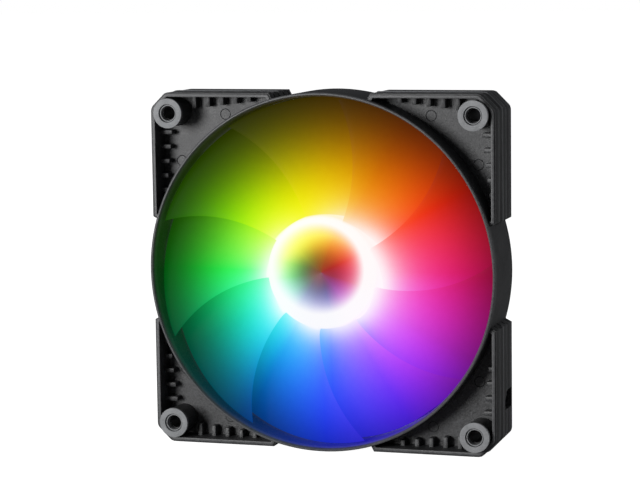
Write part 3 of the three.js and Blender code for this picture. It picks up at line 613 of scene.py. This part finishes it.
def blade():
    mesh = bmesh.new()
    bmesh.ops.create_grid(mesh, x_segments=26, y_segments=30, size=0.5)
    pulled(mesh, mesh.faces[:], (0, 0, 1))
    root = HUB_RADIUS - HUB_WALL / 2
    for vert in mesh.verts:
        outward = (vert.co.x + 0.5) ** 1.25
        radius = root + (TIP_RADIUS - root) * outward
        vert.co = blade_skin(radius, vert.co.y + 0.5, 1 if vert.co.z > 0.5 else -1)
    cleaned(mesh)
    return softened(mesh, 0.16, 2, sharper_than=50)


turns = [360 / BLADE_COUNT * i for i in range(BLADE_COUNT)]
blades = merged([about_axis(blade(), turn) for turn in turns])
print("blades", BLADE_COUNT, "faces", len(blades.faces))

# %% [markdown]
# The hub is a cup with a rounded shoulder and a small dimple where the plastic entered the mould. It is
# turned, and joined to the blades' roots. What the blades' roots leave inside the cup is cut away.

# %% The hub, and the whole impeller
SHOULDER = 2
CUP_RADIUS = HUB_RADIUS - HUB_WALL
CUP_FLOOR = HUB_FRONT + 1.8
HUB_STEPS = 192

quarter = [math.pi / 16 * i for i in range(9)]
shoulder = [
    (HUB_RADIUS - SHOULDER + SHOULDER * math.sin(a), HUB_FRONT + SHOULDER - SHOULDER * math.cos(a))
    for a in quarter
]
hub_outline = [(0, HUB_FRONT + 0.5), (0.9, HUB_FRONT + 0.45), (1.2, HUB_FRONT + 0.1), (1.35, HUB_FRONT)]
hub_outline += shoulder + [
    (HUB_RADIUS, HUB_BACK - 0.15), (HUB_RADIUS - 0.15, HUB_BACK), (CUP_RADIUS + 0.15, HUB_BACK),
    (CUP_RADIUS, HUB_BACK - 0.15), (CUP_RADIUS, CUP_FLOOR), (0, CUP_FLOOR),
]
cup_space = turned([(0, CUP_FLOOR), (CUP_RADIUS, CUP_FLOOR), (CUP_RADIUS, DEPTH), (0, DEPTH)], HUB_STEPS)
hub = turned(hub_outline, HUB_STEPS)
lit_impeller = combined("lit_impeller", blades, [("DIFFERENCE", cup_space), ("UNION", hub)])
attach(lit_impeller, "rotor")
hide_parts("impeller")

# %% [markdown]
# The motor hides in the hub, and what shows of it shows at its rim or when the fan is taken apart. Its four
# coils are wound round the arms of the stator. A coil is a thick rounded ring: an outer rounded block with a
# block cut from it, made once and turned to the other three arms. The windings themselves are fine enough to
# be relief in the copper's finish.

# %% The coils
def block(low, high, soft=0.0, segments=2):
    mesh = bmesh.new()
    bmesh.ops.create_cube(mesh, size=1)
    low, high = Vector(low), Vector(high)
    bmesh.ops.scale(mesh, vec=high - low, verts=mesh.verts)
    bmesh.ops.translate(mesh, vec=(low + high) / 2, verts=mesh.verts)
    return softened(mesh, soft, segments) if soft else mesh


def placed(name, mesh, body, node):
    made = piece(name, mesh)
    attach(made, body)
    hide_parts(node)
    return made


coil_low, coil_high = (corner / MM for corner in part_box("coil_1"))
ARM_HALF = 1.65
ARM_FRONT, ARM_BACK = 7.5, 14.8
opening = block(
    (coil_low.x - 1, station(ARM_FRONT), -ARM_HALF), (coil_high.x + 1, station(ARM_BACK), ARM_HALF),
)
winding_block = block(coil_low, coil_high, soft=0.9, segments=5)
winding = combined("winding", winding_block, [("DIFFERENCE", opening)])
coils = [
    placed(f"wound_coil_{i + 1}", moved(copy_of(winding), turn), "housing", f"coil_{i + 1}")
    for i, turn in enumerate(quarter_turns())
]
bpy.data.objects.remove(winding)
print("coils", len(coils), "each", [round(c, 1) for c in coil_high - coil_low], "mm")

# %% [markdown]
# Eight lamps sit round the rim of the circuit board and shine into the hub. Each is a white square package
# with a round bowl for its lens, so a square block gets its front face inset and pushed in. The chips beside
# them are the same kind of block with rows of thin metal legs.

# %% The lamps and the chips
BOARD_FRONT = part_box("circuit_board")[0].y / MM


def seated(mesh, node, degrees):
    low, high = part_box(node)
    return moved(about_axis(mesh, degrees), Matrix.Translation((low + high) / 2 / MM))


def package(size, soft, bowl=0.0):
    across, along, height = size
    mesh = block((-along / 2, -height / 2, -across / 2), (along / 2, height / 2, across / 2))
    if bowl:
        front = [f for f in mesh.faces if f.normal.y < -0.9]
        bmesh.ops.inset_individual(mesh, faces=front, thickness=bowl, depth=0)
        bmesh.ops.inset_individual(mesh, faces=front, thickness=bowl * 0.5, depth=-bowl)
    return softened(mesh, soft)


def legs(size, count, side):
    across, along, height = size
    pitch = across / count
    half_leg = pitch * 0.2
    made = []
    for i in range(count):
        z = (i + 0.5) * pitch - across / 2
        for way in (-1, 1):
            x = way * (along / 2 + side / 2)
            low = (x - side / 2, -0.1, z - half_leg)
            high = (x + side / 2, height / 2 - 0.02, z + half_leg)
            made.append(block(low, high, soft=0.05))
    return merged(made)


LAMP_COUNT = 8
LAMP_SIZE = (2.8, 2.8, 1.3)
lamps = []
for i in range(LAMP_COUNT):
    node = f"led_{i + 1}"
    body = seated(package(LAMP_SIZE, 0.08, bowl=0.45), node, 360 / LAMP_COUNT * i)
    lamps.append(placed(f"lamp_{i + 1}", body, "housing", node))

# Each chip's size, legs on a side, length of a leg and turn about the axis.
chip_sizes = {
    "hall_sensor": ((4, 2.4, 1.2), 2, 0.3, 22.5),
    "driver_chip": ((6, 4.2, 1.4), 6, 0.4, 112.5),
    "led_driver_chip": ((4, 3.2, 1), 4, 0.4, 202.5),
    "rotation_diode": ((1.3, 2.1, 1), 1, 0.25, 157.5),
}
chips, leads = [], []
for node, (size, count, side, turn) in chip_sizes.items():
    chips.append(placed(f"{node}_case", seated(package(size, 0.12), node, turn), "housing", node))
    leads.append(seated(legs(size, count, side), node, turn))
chip_legs = piece("chip_legs", merged(leads))
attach(chip_legs, "housing")

plain_sizes = {"smoothing_capacitor": ((3.2, 2.5, 1.6), 292.5), "current_resistor": ((2, 1.25, 0.6), 67.5)}
for node, (size, turn) in plain_sizes.items():
    body = seated(package(size, 0.12), node, turn)
    chips.append(placed(f"{node}_body", body, "housing", node))
print("lamps", len(lamps), "chips", len(chips))

# %% [markdown]
# Finishes come next. A moulded or turned surface is never one flat colour: it has grain, small changes of
# shade and gloss, and fine relief. All of that is maths on a point of the piece. A small class lets such
# maths be written as ordinary sums, and one method adds every other kind of node.

# %% Helpers that write materials
def linear(red, green, blue):
    channels = [c / 255 for c in (red, green, blue)]
    return [c / 12.92 if c <= 0.04045 else ((c + 0.055) / 1.055) ** 2.4 for c in channels] + [1.0]


class Wire:
    """One output of a node. Sums written with it add Math nodes to its finish."""

    def __init__(self, finish, socket):
        self.finish, self.socket = finish, socket

    def sum(self, operation, *values, clamp=False):
        settings = {"operation": operation, "use_clamp": clamp}
        return self.finish.node("ShaderNodeMath", settings, dict(enumerate(values)))

    def __add__(self, other):
        return self.sum("ADD", self, other)

    def __mul__(self, other):
        return self.sum("MULTIPLY", self, other)

    def __sub__(self, other):
        return self.sum("SUBTRACT", self, other)

    def __rsub__(self, other):
        return self.sum("SUBTRACT", other, self)

    def __truediv__(self, other):
        return self.sum("DIVIDE", self, other)

    def __pow__(self, other):
        return self.sum("POWER", self, other)

    __radd__ = __add__
    __rmul__ = __mul__

    def within(self, low, high):
        return self.sum("MULTIPLY_ADD", self, 1 / (high - low), -low / (high - low), clamp=True)


class Finish:
    """One material. node() adds a node, sets its settings, then its sockets."""

    def __init__(self, name, **sockets):
        self.material = bpy.data.materials.new(name)
        self.material.use_nodes = True
        self.tree = self.material.node_tree
        self.shader = self.tree.nodes["Principled BSDF"]
        self.place = self.node("ShaderNodeTexCoord", output="Object")
        self.set(**sockets)

    def node(self, kind, settings=None, sockets=None, output=0):
        made = self.tree.nodes.new(kind)
        for key, value in (settings or {}).items():
            if key == "stops":
                ramp = made.color_ramp.elements
                ramp.remove(ramp[0])
                for i, (position, colour) in enumerate(value):
                    stop = ramp[0] if i == 0 else ramp.new(position)
                    stop.position, stop.color = position, colour
            else:
                setattr(made, key, value)
        self.fill(made, sockets or {})
        return Wire(self, made.outputs[output])

    def fill(self, made, sockets):
        for key, value in sockets.items():
            if isinstance(value, Wire):
                self.tree.links.new(value.socket, made.inputs[key])
            else:
                made.inputs[key].default_value = value

    def set(self, **sockets):
        self.fill(self.shader, {key.replace("_", " "): value for key, value in sockets.items()})
        return self

    def axis(self, index):
        return self.node("ShaderNodeSeparateXYZ", {}, {"Vector": self.place}, index)

    def radius(self):
        x, z = self.axis(0), self.axis(2)
        return (x * x + z * z) ** 0.5

    def angle(self):
        return self.axis(2).sum("ARCTAN2", self.axis(2), self.axis(0))

    def grain(self, size, detail=2.0, roughness=0.5, place=None):
        sockets = {"Vector": place or self.place, "Scale": 1 / (size * MM)}
        return self.node("ShaderNodeTexNoise", {}, {**sockets, "Detail": detail, "Roughness": roughness})

    def stretched(self, x, y, z):
        return self.node("ShaderNodeMapping", {}, {"Vector": self.place, "Scale": (x, y, z)})

    def mix(self, factor, first, second):
        return self.node("ShaderNodeMix", {"data_type": "RGBA"}, {0: factor, 6: first, 7: second}, 2)

    def relief(self, height, depth, strength=1.0):
        sockets = {"Height": height, "Distance": depth * MM, "Strength": strength}
        return self.set(Normal=self.node("ShaderNodeBump", {}, sockets))


def dress(finish, *things):
    for thing in things:
        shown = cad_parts[thing] if isinstance(thing, str) else thing
        shown.data.materials.clear()
        shown.data.materials.append(finish.material)


# %% [markdown]
# The frame is black nylon or polyester with glass fibre in it. Its walls were cut by spark erosion in the
# mould, which leaves a fine matt grain, and flow lines vary the gloss a little. Black plastic is not black
# under a studio lamp: its matt grain scatters enough light to look dark grey. A band round the front rims
# is a touch paler, found by height along the fan's axis. The corners' outer walls get painted shade, a
# darker colour, with painted highlights along the edges of their bead and grooves and painted shadow in
# the grooves. Those walls are found by distance from the axis, square to each side and across each chamfer.

# %% The moulded black plastic
# The colour of the painted highlights on the outer walls' bead and groove edges, the colour of the painted
# shadow in their grooves, and the highlights' width.
PAINTED_EDGE_HIGHLIGHT = (0.19, 0.193, 0.2, 1)
PAINTED_GROOVE_SHADOW = (0.002, 0.002, 0.002, 1)
EDGE_HIGHLIGHT_WIDTH = 0.35


def moulded_black(name, dark, pale):
    finish = Finish(name, Specular_IOR_Level=0.32)
    fine = finish.grain(0.32, detail=3.0)
    broad = finish.grain(9, detail=3.0)
    speck = finish.grain(0.9, detail=4.0, roughness=0.7)
    shade = (fine * 0.35 + speck * 0.45 + broad * 0.2).within(0.42, 0.6)
    place = finish.axis(1) / MM
    # A band round the front rims, found by height along the axis, is a touch paler.
    front_rim_band = place.within(station(2.9), station(2.0)) * 0.45
    across, upward = (finish.axis(i).sum("ABSOLUTE", finish.axis(i)) / MM for i in (0, 2))
    on_side = across.sum("MAXIMUM", across, upward).within(HALF_SPAN - 0.7, HALF_SPAN - 0.5)
    on_side = on_side * across.sum("MINIMUM", across, upward).within(WALL_END - 0.6, WALL_END - 0.4)
    on_chamfer = (across + upward).within(HALF_SPAN + CHAMFER - 1.2, HALF_SPAN + CHAMFER - 0.9)
    on_wall = on_side.sum("MAXIMUM", on_side, on_chamfer)

    def band(start, end):
        begun = place.within(station(start - 0.1), station(start))
        return begun * place.within(station(end + 0.1), station(end))

    edge_highlight, groove_shadow = band(BEAD_DEPTH, BEAD_DEPTH + LINE_WIDTH), 0
    for depth in (FRONT_GROOVE, *REAR_GROOVES):
        end = depth + LINE_WIDTH
        edge_highlight = edge_highlight + band(depth - EDGE_HIGHLIGHT_WIDTH, depth) + band(end, end + EDGE_HIGHLIGHT_WIDTH)
        groove_shadow = band(depth + 0.1, end - 0.1) + groove_shadow
    # Painted shade: the corners' outer walls (on_wall) get a darker colour, and the front rim band is paler.
    colour = finish.mix(shade * (0.75 - 0.45 * on_wall) + front_rim_band * 1.25, dark, pale)
    # Painted highlights: pale lines along the edges of the outer walls' bead and grooves.
    colour = finish.mix(edge_highlight * on_wall * 0.85, colour, PAINTED_EDGE_HIGHLIGHT)
    finish.set(
        # Painted shadow: a near-black colour in the outer walls' grooves.
        Base_Color=finish.mix(groove_shadow * on_wall * 0.85, colour, PAINTED_GROOVE_SHADOW),
        Roughness=broad * 0.25 + speck * 0.25 + 0.2,
    )
    return finish.relief(fine * 0.4 + speck * 0.6, 0.18, 0.7)


black_plastic = moulded_black(
    "moulded_black_plastic", dark=(0.012, 0.0123, 0.013, 1), pale=(0.072, 0.073, 0.076, 1),
)
dress(black_plastic, moulded_frame)

# %% [markdown]
# The pads are soft grey rubber. Rubber is duller than the plastic and picks up pale dust in its pores, so it
# gets a higher roughness and a coarse soft speckle.

# %% The grey rubber
grey_rubber = Finish("soft_grey_rubber", Specular_IOR_Level=0.3)
pores = grey_rubber.grain(0.5, detail=4.0, roughness=0.65)
dust = grey_rubber.grain(3.5, detail=3.0)
dusty = (pores * 0.5 + dust * 0.5).within(0.35, 0.65)
grey_rubber.set(
    Base_Color=grey_rubber.mix(dusty, (0.165, 0.17, 0.175, 1), (0.25, 0.255, 0.262, 1)),
    Roughness=pores * 0.2 + 0.62,
)
grey_rubber.relief(pores, 0.06, 0.5)
dress(grey_rubber, *pads)

# %% [markdown]
# The impeller is the fan's show piece: frosted plastic, lit from behind its hub by eight coloured lamps.
# That glow is painted light, the plastic's own emission. Light enters the blades at their roots and thins
# out towards their tips, and each lamp tints its own sector. So the glow's colour depends on the angle round
# the axis, and its strength on the radius. A colour ramp with twelve stops, like the hours of a clock, gives
# the hue, and each hour has its own brightness. The hub mixes its light more, so there the same hues sit a
# little further round. The eye and a camera both saturate, so the sum of light x becomes 1 - exp(-x) in each
# channel, which is why the roots look almost white. The glow is also painted darker from a blade's leading
# edge to its trailing edge, as painted shade of the next blade, and that shows each blade against the next
# one.

# %% The colours round the clock
hours = [
    (220, 25, 110), (235, 50, 15), (180, 90, 0), (150, 115, 0), (125, 135, 0), (90, 160, 0),
    (25, 185, 50), (15, 170, 135), (10, 110, 190), (50, 85, 250), (120, 55, 250), (185, 35, 195),
]
brightness = (0.5, 0.9, 0.65, 0.6, 0.5, 0.85, 0.9, 0.4, 0.45, 1, 0.8, 0.25)
BRIGHTEST = 0.985


def pure(colour, strength=1.0):
    light = [-math.log(1 - min(c, BRIGHTEST)) for c in linear(*colour)[:3]]
    return [strength * c / max(light) for c in light] + [1.0]


def clock(colours):
    return [(i / len(colours), colour) for i, colour in enumerate(colours)] + [(1.0, colours[0])]


hub_hues = clock([pure(colour) for colour in hours])
blade_hues = clock([pure(*hour) for hour in zip(hours, brightness)])

# %% [markdown]
# How strong the light is differs round the clock and falls off outwards. Both are smooth, so they need no
# map: a wave round the clock has a mean, a cosine and a sine, and a falling strength is the exponential of a
# few such waves, the later ones times a growing power of the distance. The numbers of these waves were
# fitted to a measured glow and rounded, not chosen one by one.

# %% The light round the hub
GLOW_START = 20.5
GLOW_REACH = 36.5
BLADE_LIGHT = ((2.08, -0.08, -0.39), (-2.35, 1.5, -0.33), (-1.08, -0.5, -0.39))
HAZE = ((-2.85, 2.35, -0.13), (-10.38, 2.73, -4.31))
HUB_LIGHT = ((-3.06, 1.03, 0.81), (3.62, -0.9, -0.83), (-0.43, 0, 0.66))
HUB_WHITE = ((-2.88, -0.22, -0.7), (-1.54, -1.36, -1.1), (2.58, 1.19, 0.62))


def wave(angle, mean, cosine, sine):
    return angle.sum("COSINE", angle) * cosine + angle.sum("SINE", angle) * sine + mean


def falling_light(angle, distance, waves, limit=None):
    power, share = wave(angle, *waves[0]), distance
    for terms in waves[1:]:
        power = power + wave(angle, *terms) * share
        share = share * distance
    if limit is not None:
        power = power.sum("MINIMUM", power, limit)
    return power.sum("EXPONENT", power)


def clock_colour(finish, hues, shift=0.0):
    turn = (finish.angle() + shift) / (2 * math.pi) + 1
    return finish.node("ShaderNodeValToRGB", {"stops": hues}, {"Fac": turn.sum("FRACT", turn)})


def blade_light(finish, radius):
    return falling_light(finish.angle(), (radius - GLOW_START) / GLOW_REACH, BLADE_LIGHT)


# %% The glowing frosted plastic
frosted = Finish("lit_frosted_plastic", Emission_Strength=1.0, Specular_IOR_Level=0.01)
radius, angle = frosted.radius() / MM, frosted.angle()
out = radius / 10
hub_light = falling_light(angle, out, HUB_LIGHT, limit=1.6)
hub_white = falling_light(angle, out, HUB_WHITE, limit=1.1)
ember = radius.sum("EXPONENT", radius * radius / -20) * 0.2

at_rim = radius.within(18.0, 19.3)
past_hub = radius.sum("MAXIMUM", radius, GLOW_START)
coloured = hub_light * (1 - at_rim) + blade_light(frosted, past_hub) * at_rim
shadowed = angle.sum("COSINE", angle - math.radians(108)).within(0.3, 1.0)
halo = radius.sum("EXPONENT", (GLOW_START - radius) * 0.4) * 0.79 * (1 - shadowed)
blade_white = halo + falling_light(angle, (radius - GLOW_START) / GLOW_REACH, HAZE, limit=0.5)
white = hub_white * (1 - at_rim) + blade_white * at_rim

# Painted shade: the painted glow falls off towards each blade's trailing edge, behind the next blade.
chord = ((frosted.axis(1) / MM - station(BLADE_FRONT)) / (BLADE_BACK - BLADE_FRONT)).within(0, 1)
cloud = frosted.grain(2.2, detail=3.0)
frost = frosted.grain(0.25, detail=2.0)
blade_glow = (1.04 - 0.08 * chord) * at_rim + (1 - at_rim)
texture = cloud * 0.1 + frost * 0.06 + 0.92
hub_shift = wave(angle, 0, 0.2, -0.24)
hue = frosted.mix(at_rim, clock_colour(frosted, hub_hues, hub_shift), clock_colour(frosted, blade_hues))
light = []
for channel in range(3):
    part = frosted.node("ShaderNodeSeparateColor", {}, {"Color": hue}, channel) * coloured + white
    light.append((part + ember if channel == 0 else part) * blade_glow * texture)
seen = [1 - part.sum("EXPONENT", part * -1) for part in light]
glow = frosted.node("ShaderNodeCombineColor", {}, dict(enumerate(seen)))
frosted.set(
    Base_Color=frosted.mix(frost, (0.001, 0.001, 0.001, 1), (0.003, 0.003, 0.003, 1)),
    Roughness=cloud * 0.2 + 0.4, Emission_Color=glow,
)
frosted.relief(frost, 0.03, 0.4)
dress(frosted, lit_impeller)
print("hues", len(blade_hues))

# %% [markdown]
# The duct's inside catches the same light, a lamp's colour beside each sector. Traced light gives some of
# it. A model seen without traced light would lose it, so the wall also carries a faint glow of its own.

# %% The light caught by the duct
wall_radius = black_plastic.radius() / MM
inside = wall_radius.within(BORE_RADIUS + 0.4, BORE_RADIUS + 0.2)
inside = inside * wall_radius.within(BORE_RADIUS - LIP - 0.15, BORE_RADIUS - LIP - 0.05)
reach_in = (black_plastic.axis(1) / MM).within(station(0.2), station(1.2))
caught = blade_light(black_plastic, GLOW_START + GLOW_REACH) * inside * reach_in * 0.28
caught_hue = clock_colour(black_plastic, blade_hues)
parts = [black_plastic.node("ShaderNodeSeparateColor", {}, {"Color": caught_hue}, i) for i in range(3)]
tinted = dict(enumerate(part * caught for part in parts))
black_plastic.set(
    Emission_Color=black_plastic.node("ShaderNodeCombineColor", {}, tinted), Emission_Strength=1.0,
)

# %% [markdown]
# The metals come from one recipe. A turned or drawn metal has fine rings round its axis, so noise is
# stretched along one way and squeezed along the others. The rings change the gloss and the relief, and a
# slow cloud changes the colour, as handling and oil do. The stator's sheets of steel show as thin lines
# across the axis.

# %% The metals of the motor
def lines(finish, along, pitch):
    wave_height = along * (2 * math.pi / pitch)
    return wave_height.sum("SINE", wave_height) * 0.5 + 0.5


def turned_metal(name, dark, pale, rough, metallic=1.0):
    finish = Finish(name, Metallic=metallic)
    rings = finish.grain(0.6, detail=4.0, roughness=0.7, place=finish.stretched(0.08, 3.0, 0.08))
    cloud = finish.grain(5, detail=3.0)
    finish.set(
        Base_Color=finish.mix((cloud * 0.6 + rings * 0.4).within(0.3, 0.7), dark, pale),
        Roughness=rings * 0.22 + cloud * 0.12 + (rough - 0.17),
    )
    return finish.relief(rings, 0.01, 0.4)


steel = turned_metal("turned_steel", (0.42, 0.42, 0.43, 1), (0.62, 0.62, 0.64, 1), 0.35)
magnet = turned_metal("sintered_magnet", (0.03, 0.03, 0.032, 1), (0.075, 0.07, 0.07, 1), 0.6, metallic=0.4)
brass = turned_metal("turned_brass", (0.55, 0.38, 0.13, 1), (0.78, 0.58, 0.24, 1), 0.3)
bronze = turned_metal("sintered_bronze", (0.32, 0.17, 0.07, 1), (0.5, 0.29, 0.14, 1), 0.5)
dress(steel, "rotor_yoke", "shaft", "shaft_clip", chip_legs)
dress(magnet, "ring_magnet")
dress(brass, "shaft_collar")
dress(bronze, "bearing_sleeve")

laminate = Finish("stacked_steel_sheets", Metallic=0.9)
sheets = lines(laminate, laminate.axis(1) / MM, 0.5)
oxide = laminate.grain(2.5, detail=4.0)
laminate.set(
    Base_Color=laminate.mix(oxide.within(0.35, 0.65), (0.1, 0.11, 0.14, 1), (0.3, 0.29, 0.28, 1)),
    Roughness=oxide * 0.3 + sheets * 0.2 + 0.25,
)
laminate.relief(sheets, 0.05, 0.8)
dress(laminate, "stator_core")

copper = Finish("enamelled_copper_wire", Metallic=0.85, Coat_Roughness=0.15)
x, z = copper.axis(0), copper.axis(2)
from_axis = x.sum("MAXIMUM", x.sum("ABSOLUTE", x), z.sum("ABSOLUTE", z)) / MM
wires = lines(copper, from_axis + copper.grain(3) * 0.15, 0.22)
lacquer = copper.grain(1.5, detail=3.0)
copper.set(
    Base_Color=copper.mix(wires * 0.7 + lacquer * 0.3, (0.2, 0.045, 0.012, 1), (0.75, 0.28, 0.1, 1)),
    Roughness=lacquer * 0.2 + 0.22, Coat_Weight=lacquer * 0.4 + 0.3,
)
copper.relief(wires, 0.08, 0.9)
dress(copper, *coils)

# %% [markdown]
# The rest of the motor is plastics, glass-fibre board and ceramic. The board's green lacquer shows its
# copper tracks as paler bands that run round the axis. The lamps' packages are white with a warm lens that
# glows, and the lens is told from the package by its distance below the package's face.

# %% The plastics, the board and the small parts
def moulded(name, dark, pale, rough, size=1.2, bump=0.04):
    finish = Finish(name)
    broad, fine = finish.grain(size * 6, detail=3.0), finish.grain(size, detail=4.0, roughness=0.65)
    finish.set(
        Base_Color=finish.mix((broad * 0.5 + fine * 0.5).within(0.32, 0.68), dark, pale),
        Roughness=fine * 0.25 + (rough - 0.12),
    )
    return finish.relief(fine, bump, 0.6)


nylon = moulded("natural_nylon", (0.5, 0.48, 0.42, 1), (0.68, 0.66, 0.6, 1), 0.5)
black_nylon = moulded("black_nylon_cap", (0.012, 0.012, 0.013, 1), (0.04, 0.04, 0.042, 1), 0.45)
chip_black = moulded("moulded_chip", (0.008, 0.008, 0.009, 1), (0.03, 0.03, 0.031, 1), 0.6, size=0.3)
ceramic = moulded("fired_ceramic", (0.36, 0.26, 0.17, 1), (0.52, 0.4, 0.28, 1), 0.4, size=0.5)
dress(nylon, "front_insulator", "rear_insulator", "oil_seal", "thrust_pad")
dress(black_nylon, "bearing_cap")
dress(chip_black, *chips[:4])
dress(ceramic, *chips[4:])

board = Finish("green_circuit_board", Coat_Roughness=0.12)
board_radius, board_angle = board.radius() / MM, board.angle()
tracks = lines(board, board_radius + board.grain(9) * 3, 1.6).within(0.62, 0.7)
weave = lines(board, board.axis(0) / MM, 0.6) * lines(board, board.axis(2) / MM, 0.6)
lacquer_green = board.mix(weave, (0.004, 0.05, 0.02, 1), (0.007, 0.075, 0.03, 1))
board.set(
    Base_Color=board.mix(tracks, lacquer_green, (0.02, 0.16, 0.06, 1)),
    Roughness=weave * 0.15 + 0.3, Coat_Weight=weave * 0.2 + 0.5,
)
board.relief(tracks * 0.7 + weave * 0.3, 0.05, 0.6)
dress(board, "circuit_board")

lamp_white = Finish("white_lamp_package", Emission_Strength=1.0)
below_face = lamp_white.axis(1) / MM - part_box("led_1")[0].y / MM
glass = below_face.within(0.2, 0.42) * below_face.within(0.62, 0.5)
speckle = lamp_white.grain(0.3, detail=3.0)
package_white = lamp_white.mix(speckle, (0.6, 0.6, 0.57, 1), (0.8, 0.8, 0.77, 1))
lamp_white.set(
    Base_Color=lamp_white.mix(glass, package_white, (0.9, 0.75, 0.35, 1)),
    Roughness=speckle * 0.3 + 0.25,
    Emission_Color=lamp_white.mix(glass, (0, 0, 0, 1), (0.9, 0.85, 0.75, 1)),
)
lamp_white.relief(speckle, 0.02, 0.5)
dress(lamp_white, *lamps)

# %% [markdown]
# The label on the back is a silver foil sticker with no lettering. Its rim is printed black, two thin rings
# run inside it, and the foil is brushed in straight lines.

# %% The rear label
foil = Finish("foil_label", Coat_Roughness=0.2)
label_radius = foil.radius() / MM
brushed = foil.grain(0.5, detail=4.0, roughness=0.7, place=foil.stretched(0.3, 1.0, 4.0))
rim = label_radius.within(14.6, 14.75)
ring = label_radius.within(12.9, 13.0) * label_radius.within(13.3, 13.2)
second = label_radius.within(5.4, 5.5) * label_radius.within(5.8, 5.7)
printed = rim.sum("MAXIMUM", rim, ring.sum("MAXIMUM", ring, second))
silver = foil.mix(brushed, (0.42, 0.425, 0.44, 1), (0.62, 0.625, 0.64, 1))
foil.set(
    Base_Color=foil.mix(printed, silver, (0.015, 0.015, 0.016, 1)),
    Metallic=(1 - printed) * 0.4,
    Roughness=brushed * 0.25 + printed * 0.15 + 0.25,
    Coat_Weight=brushed * 0.1 + 0.25,
)
foil.relief(brushed + printed, 0.01, 0.5)
dress(foil, "rear_label")
print("finishes", len(bpy.data.materials))

# %% [markdown]
# The fan stands on a plain white floor in plain soft light. A large lamp to the left of the camera and a
# little above it lights the front faces, and two weaker ones, at the right and behind, pick out the duct's
# far side, which shows how deep the fan is. The floor and the world are white only to the camera, so they
# don't flood the fan with light from below. To everything else the world gives a faint fill.

# %% The floor, the lamps and the camera
sheet = bmesh.new()
bmesh.ops.create_grid(sheet, x_segments=1, y_segments=1, size=6000)
bmesh.ops.translate(sheet, vec=(0, 0, cad_box[0][2] / MM), verts=sheet.verts)
floor = piece("floor", sheet)

white_floor = Finish("white_floor", Roughness=0.9, Specular_IOR_Level=0.1, Emission_Strength=0.985)
to_camera = white_floor.node("ShaderNodeLightPath", output="Is Camera Ray")
white_floor.set(
    Base_Color=(0.5, 0.5, 0.5, 1),
    Emission_Color=white_floor.mix(to_camera, (0, 0, 0, 1), (1, 1, 1, 1)),
)
dress(white_floor, floor)

world = bpy.data.worlds.new("studio")
bpy.context.scene.world = world
world.use_nodes = True
tree = world.node_tree
tree.nodes.clear()
seen_by = tree.nodes.new("ShaderNodeLightPath")
backdrop = tree.nodes.new("ShaderNodeMix")
backdrop.data_type = "RGBA"
backdrop.inputs[6].default_value = (0.1, 0.103, 0.108, 1)
backdrop.inputs[7].default_value = (1, 1, 1, 1)
background = tree.nodes.new("ShaderNodeBackground")
sky = tree.nodes.new("ShaderNodeOutputWorld")
tree.links.new(seen_by.outputs["Is Camera Ray"], backdrop.inputs[0])
tree.links.new(backdrop.outputs[2], background.inputs["Color"])
tree.links.new(background.outputs[0], sky.inputs[0])


def lamp(name, place, size, watts, colour=(1, 1, 1)):
    data = bpy.data.lights.new(name, "AREA")
    data.shape = "DISK"
    data.size, data.energy, data.color = size, watts, colour
    made = bpy.data.objects.new(name, data)
    bpy.context.scene.collection.objects.link(made)
    made.location = place
    made.rotation_euler = (-Vector(place)).to_track_quat("-Z", "Y").to_euler()
    return made


lamp("key_lamp", (-0.38, -0.82, 0.13), 0.34, 8.6)
lamp("side_lamp", (1.0, 0.3, 0.1), 0.25, 1.9)
lamp("back_lamp", (-0.85, 0.85, 0.02), 0.5, 5)

right = Vector((0.9518, 0.3065, -0.0131))
ahead = Vector((-0.3059, 0.9447, -0.1182))
up = right.cross(ahead)
eye = Vector((0.2390, -0.7489, 0.10335))
lens = bpy.data.cameras.new("camera")
lens.lens, lens.sensor_width = 133.19, 36
camera = bpy.data.objects.new("camera", lens)
bpy.context.scene.collection.objects.link(camera)
camera.matrix_world = Matrix.Translation(eye) @ Matrix((right, up, -ahead)).transposed().to_4x4()
bpy.context.scene.camera = camera
bpy.context.scene.view_settings.view_transform = "Standard"

# %% [markdown]
# The last cell prints the CAD's box.

# %% Sizes, and the end
print("CAD box", [[round(c / MM, 2) for c in corner] for corner in cad_box])
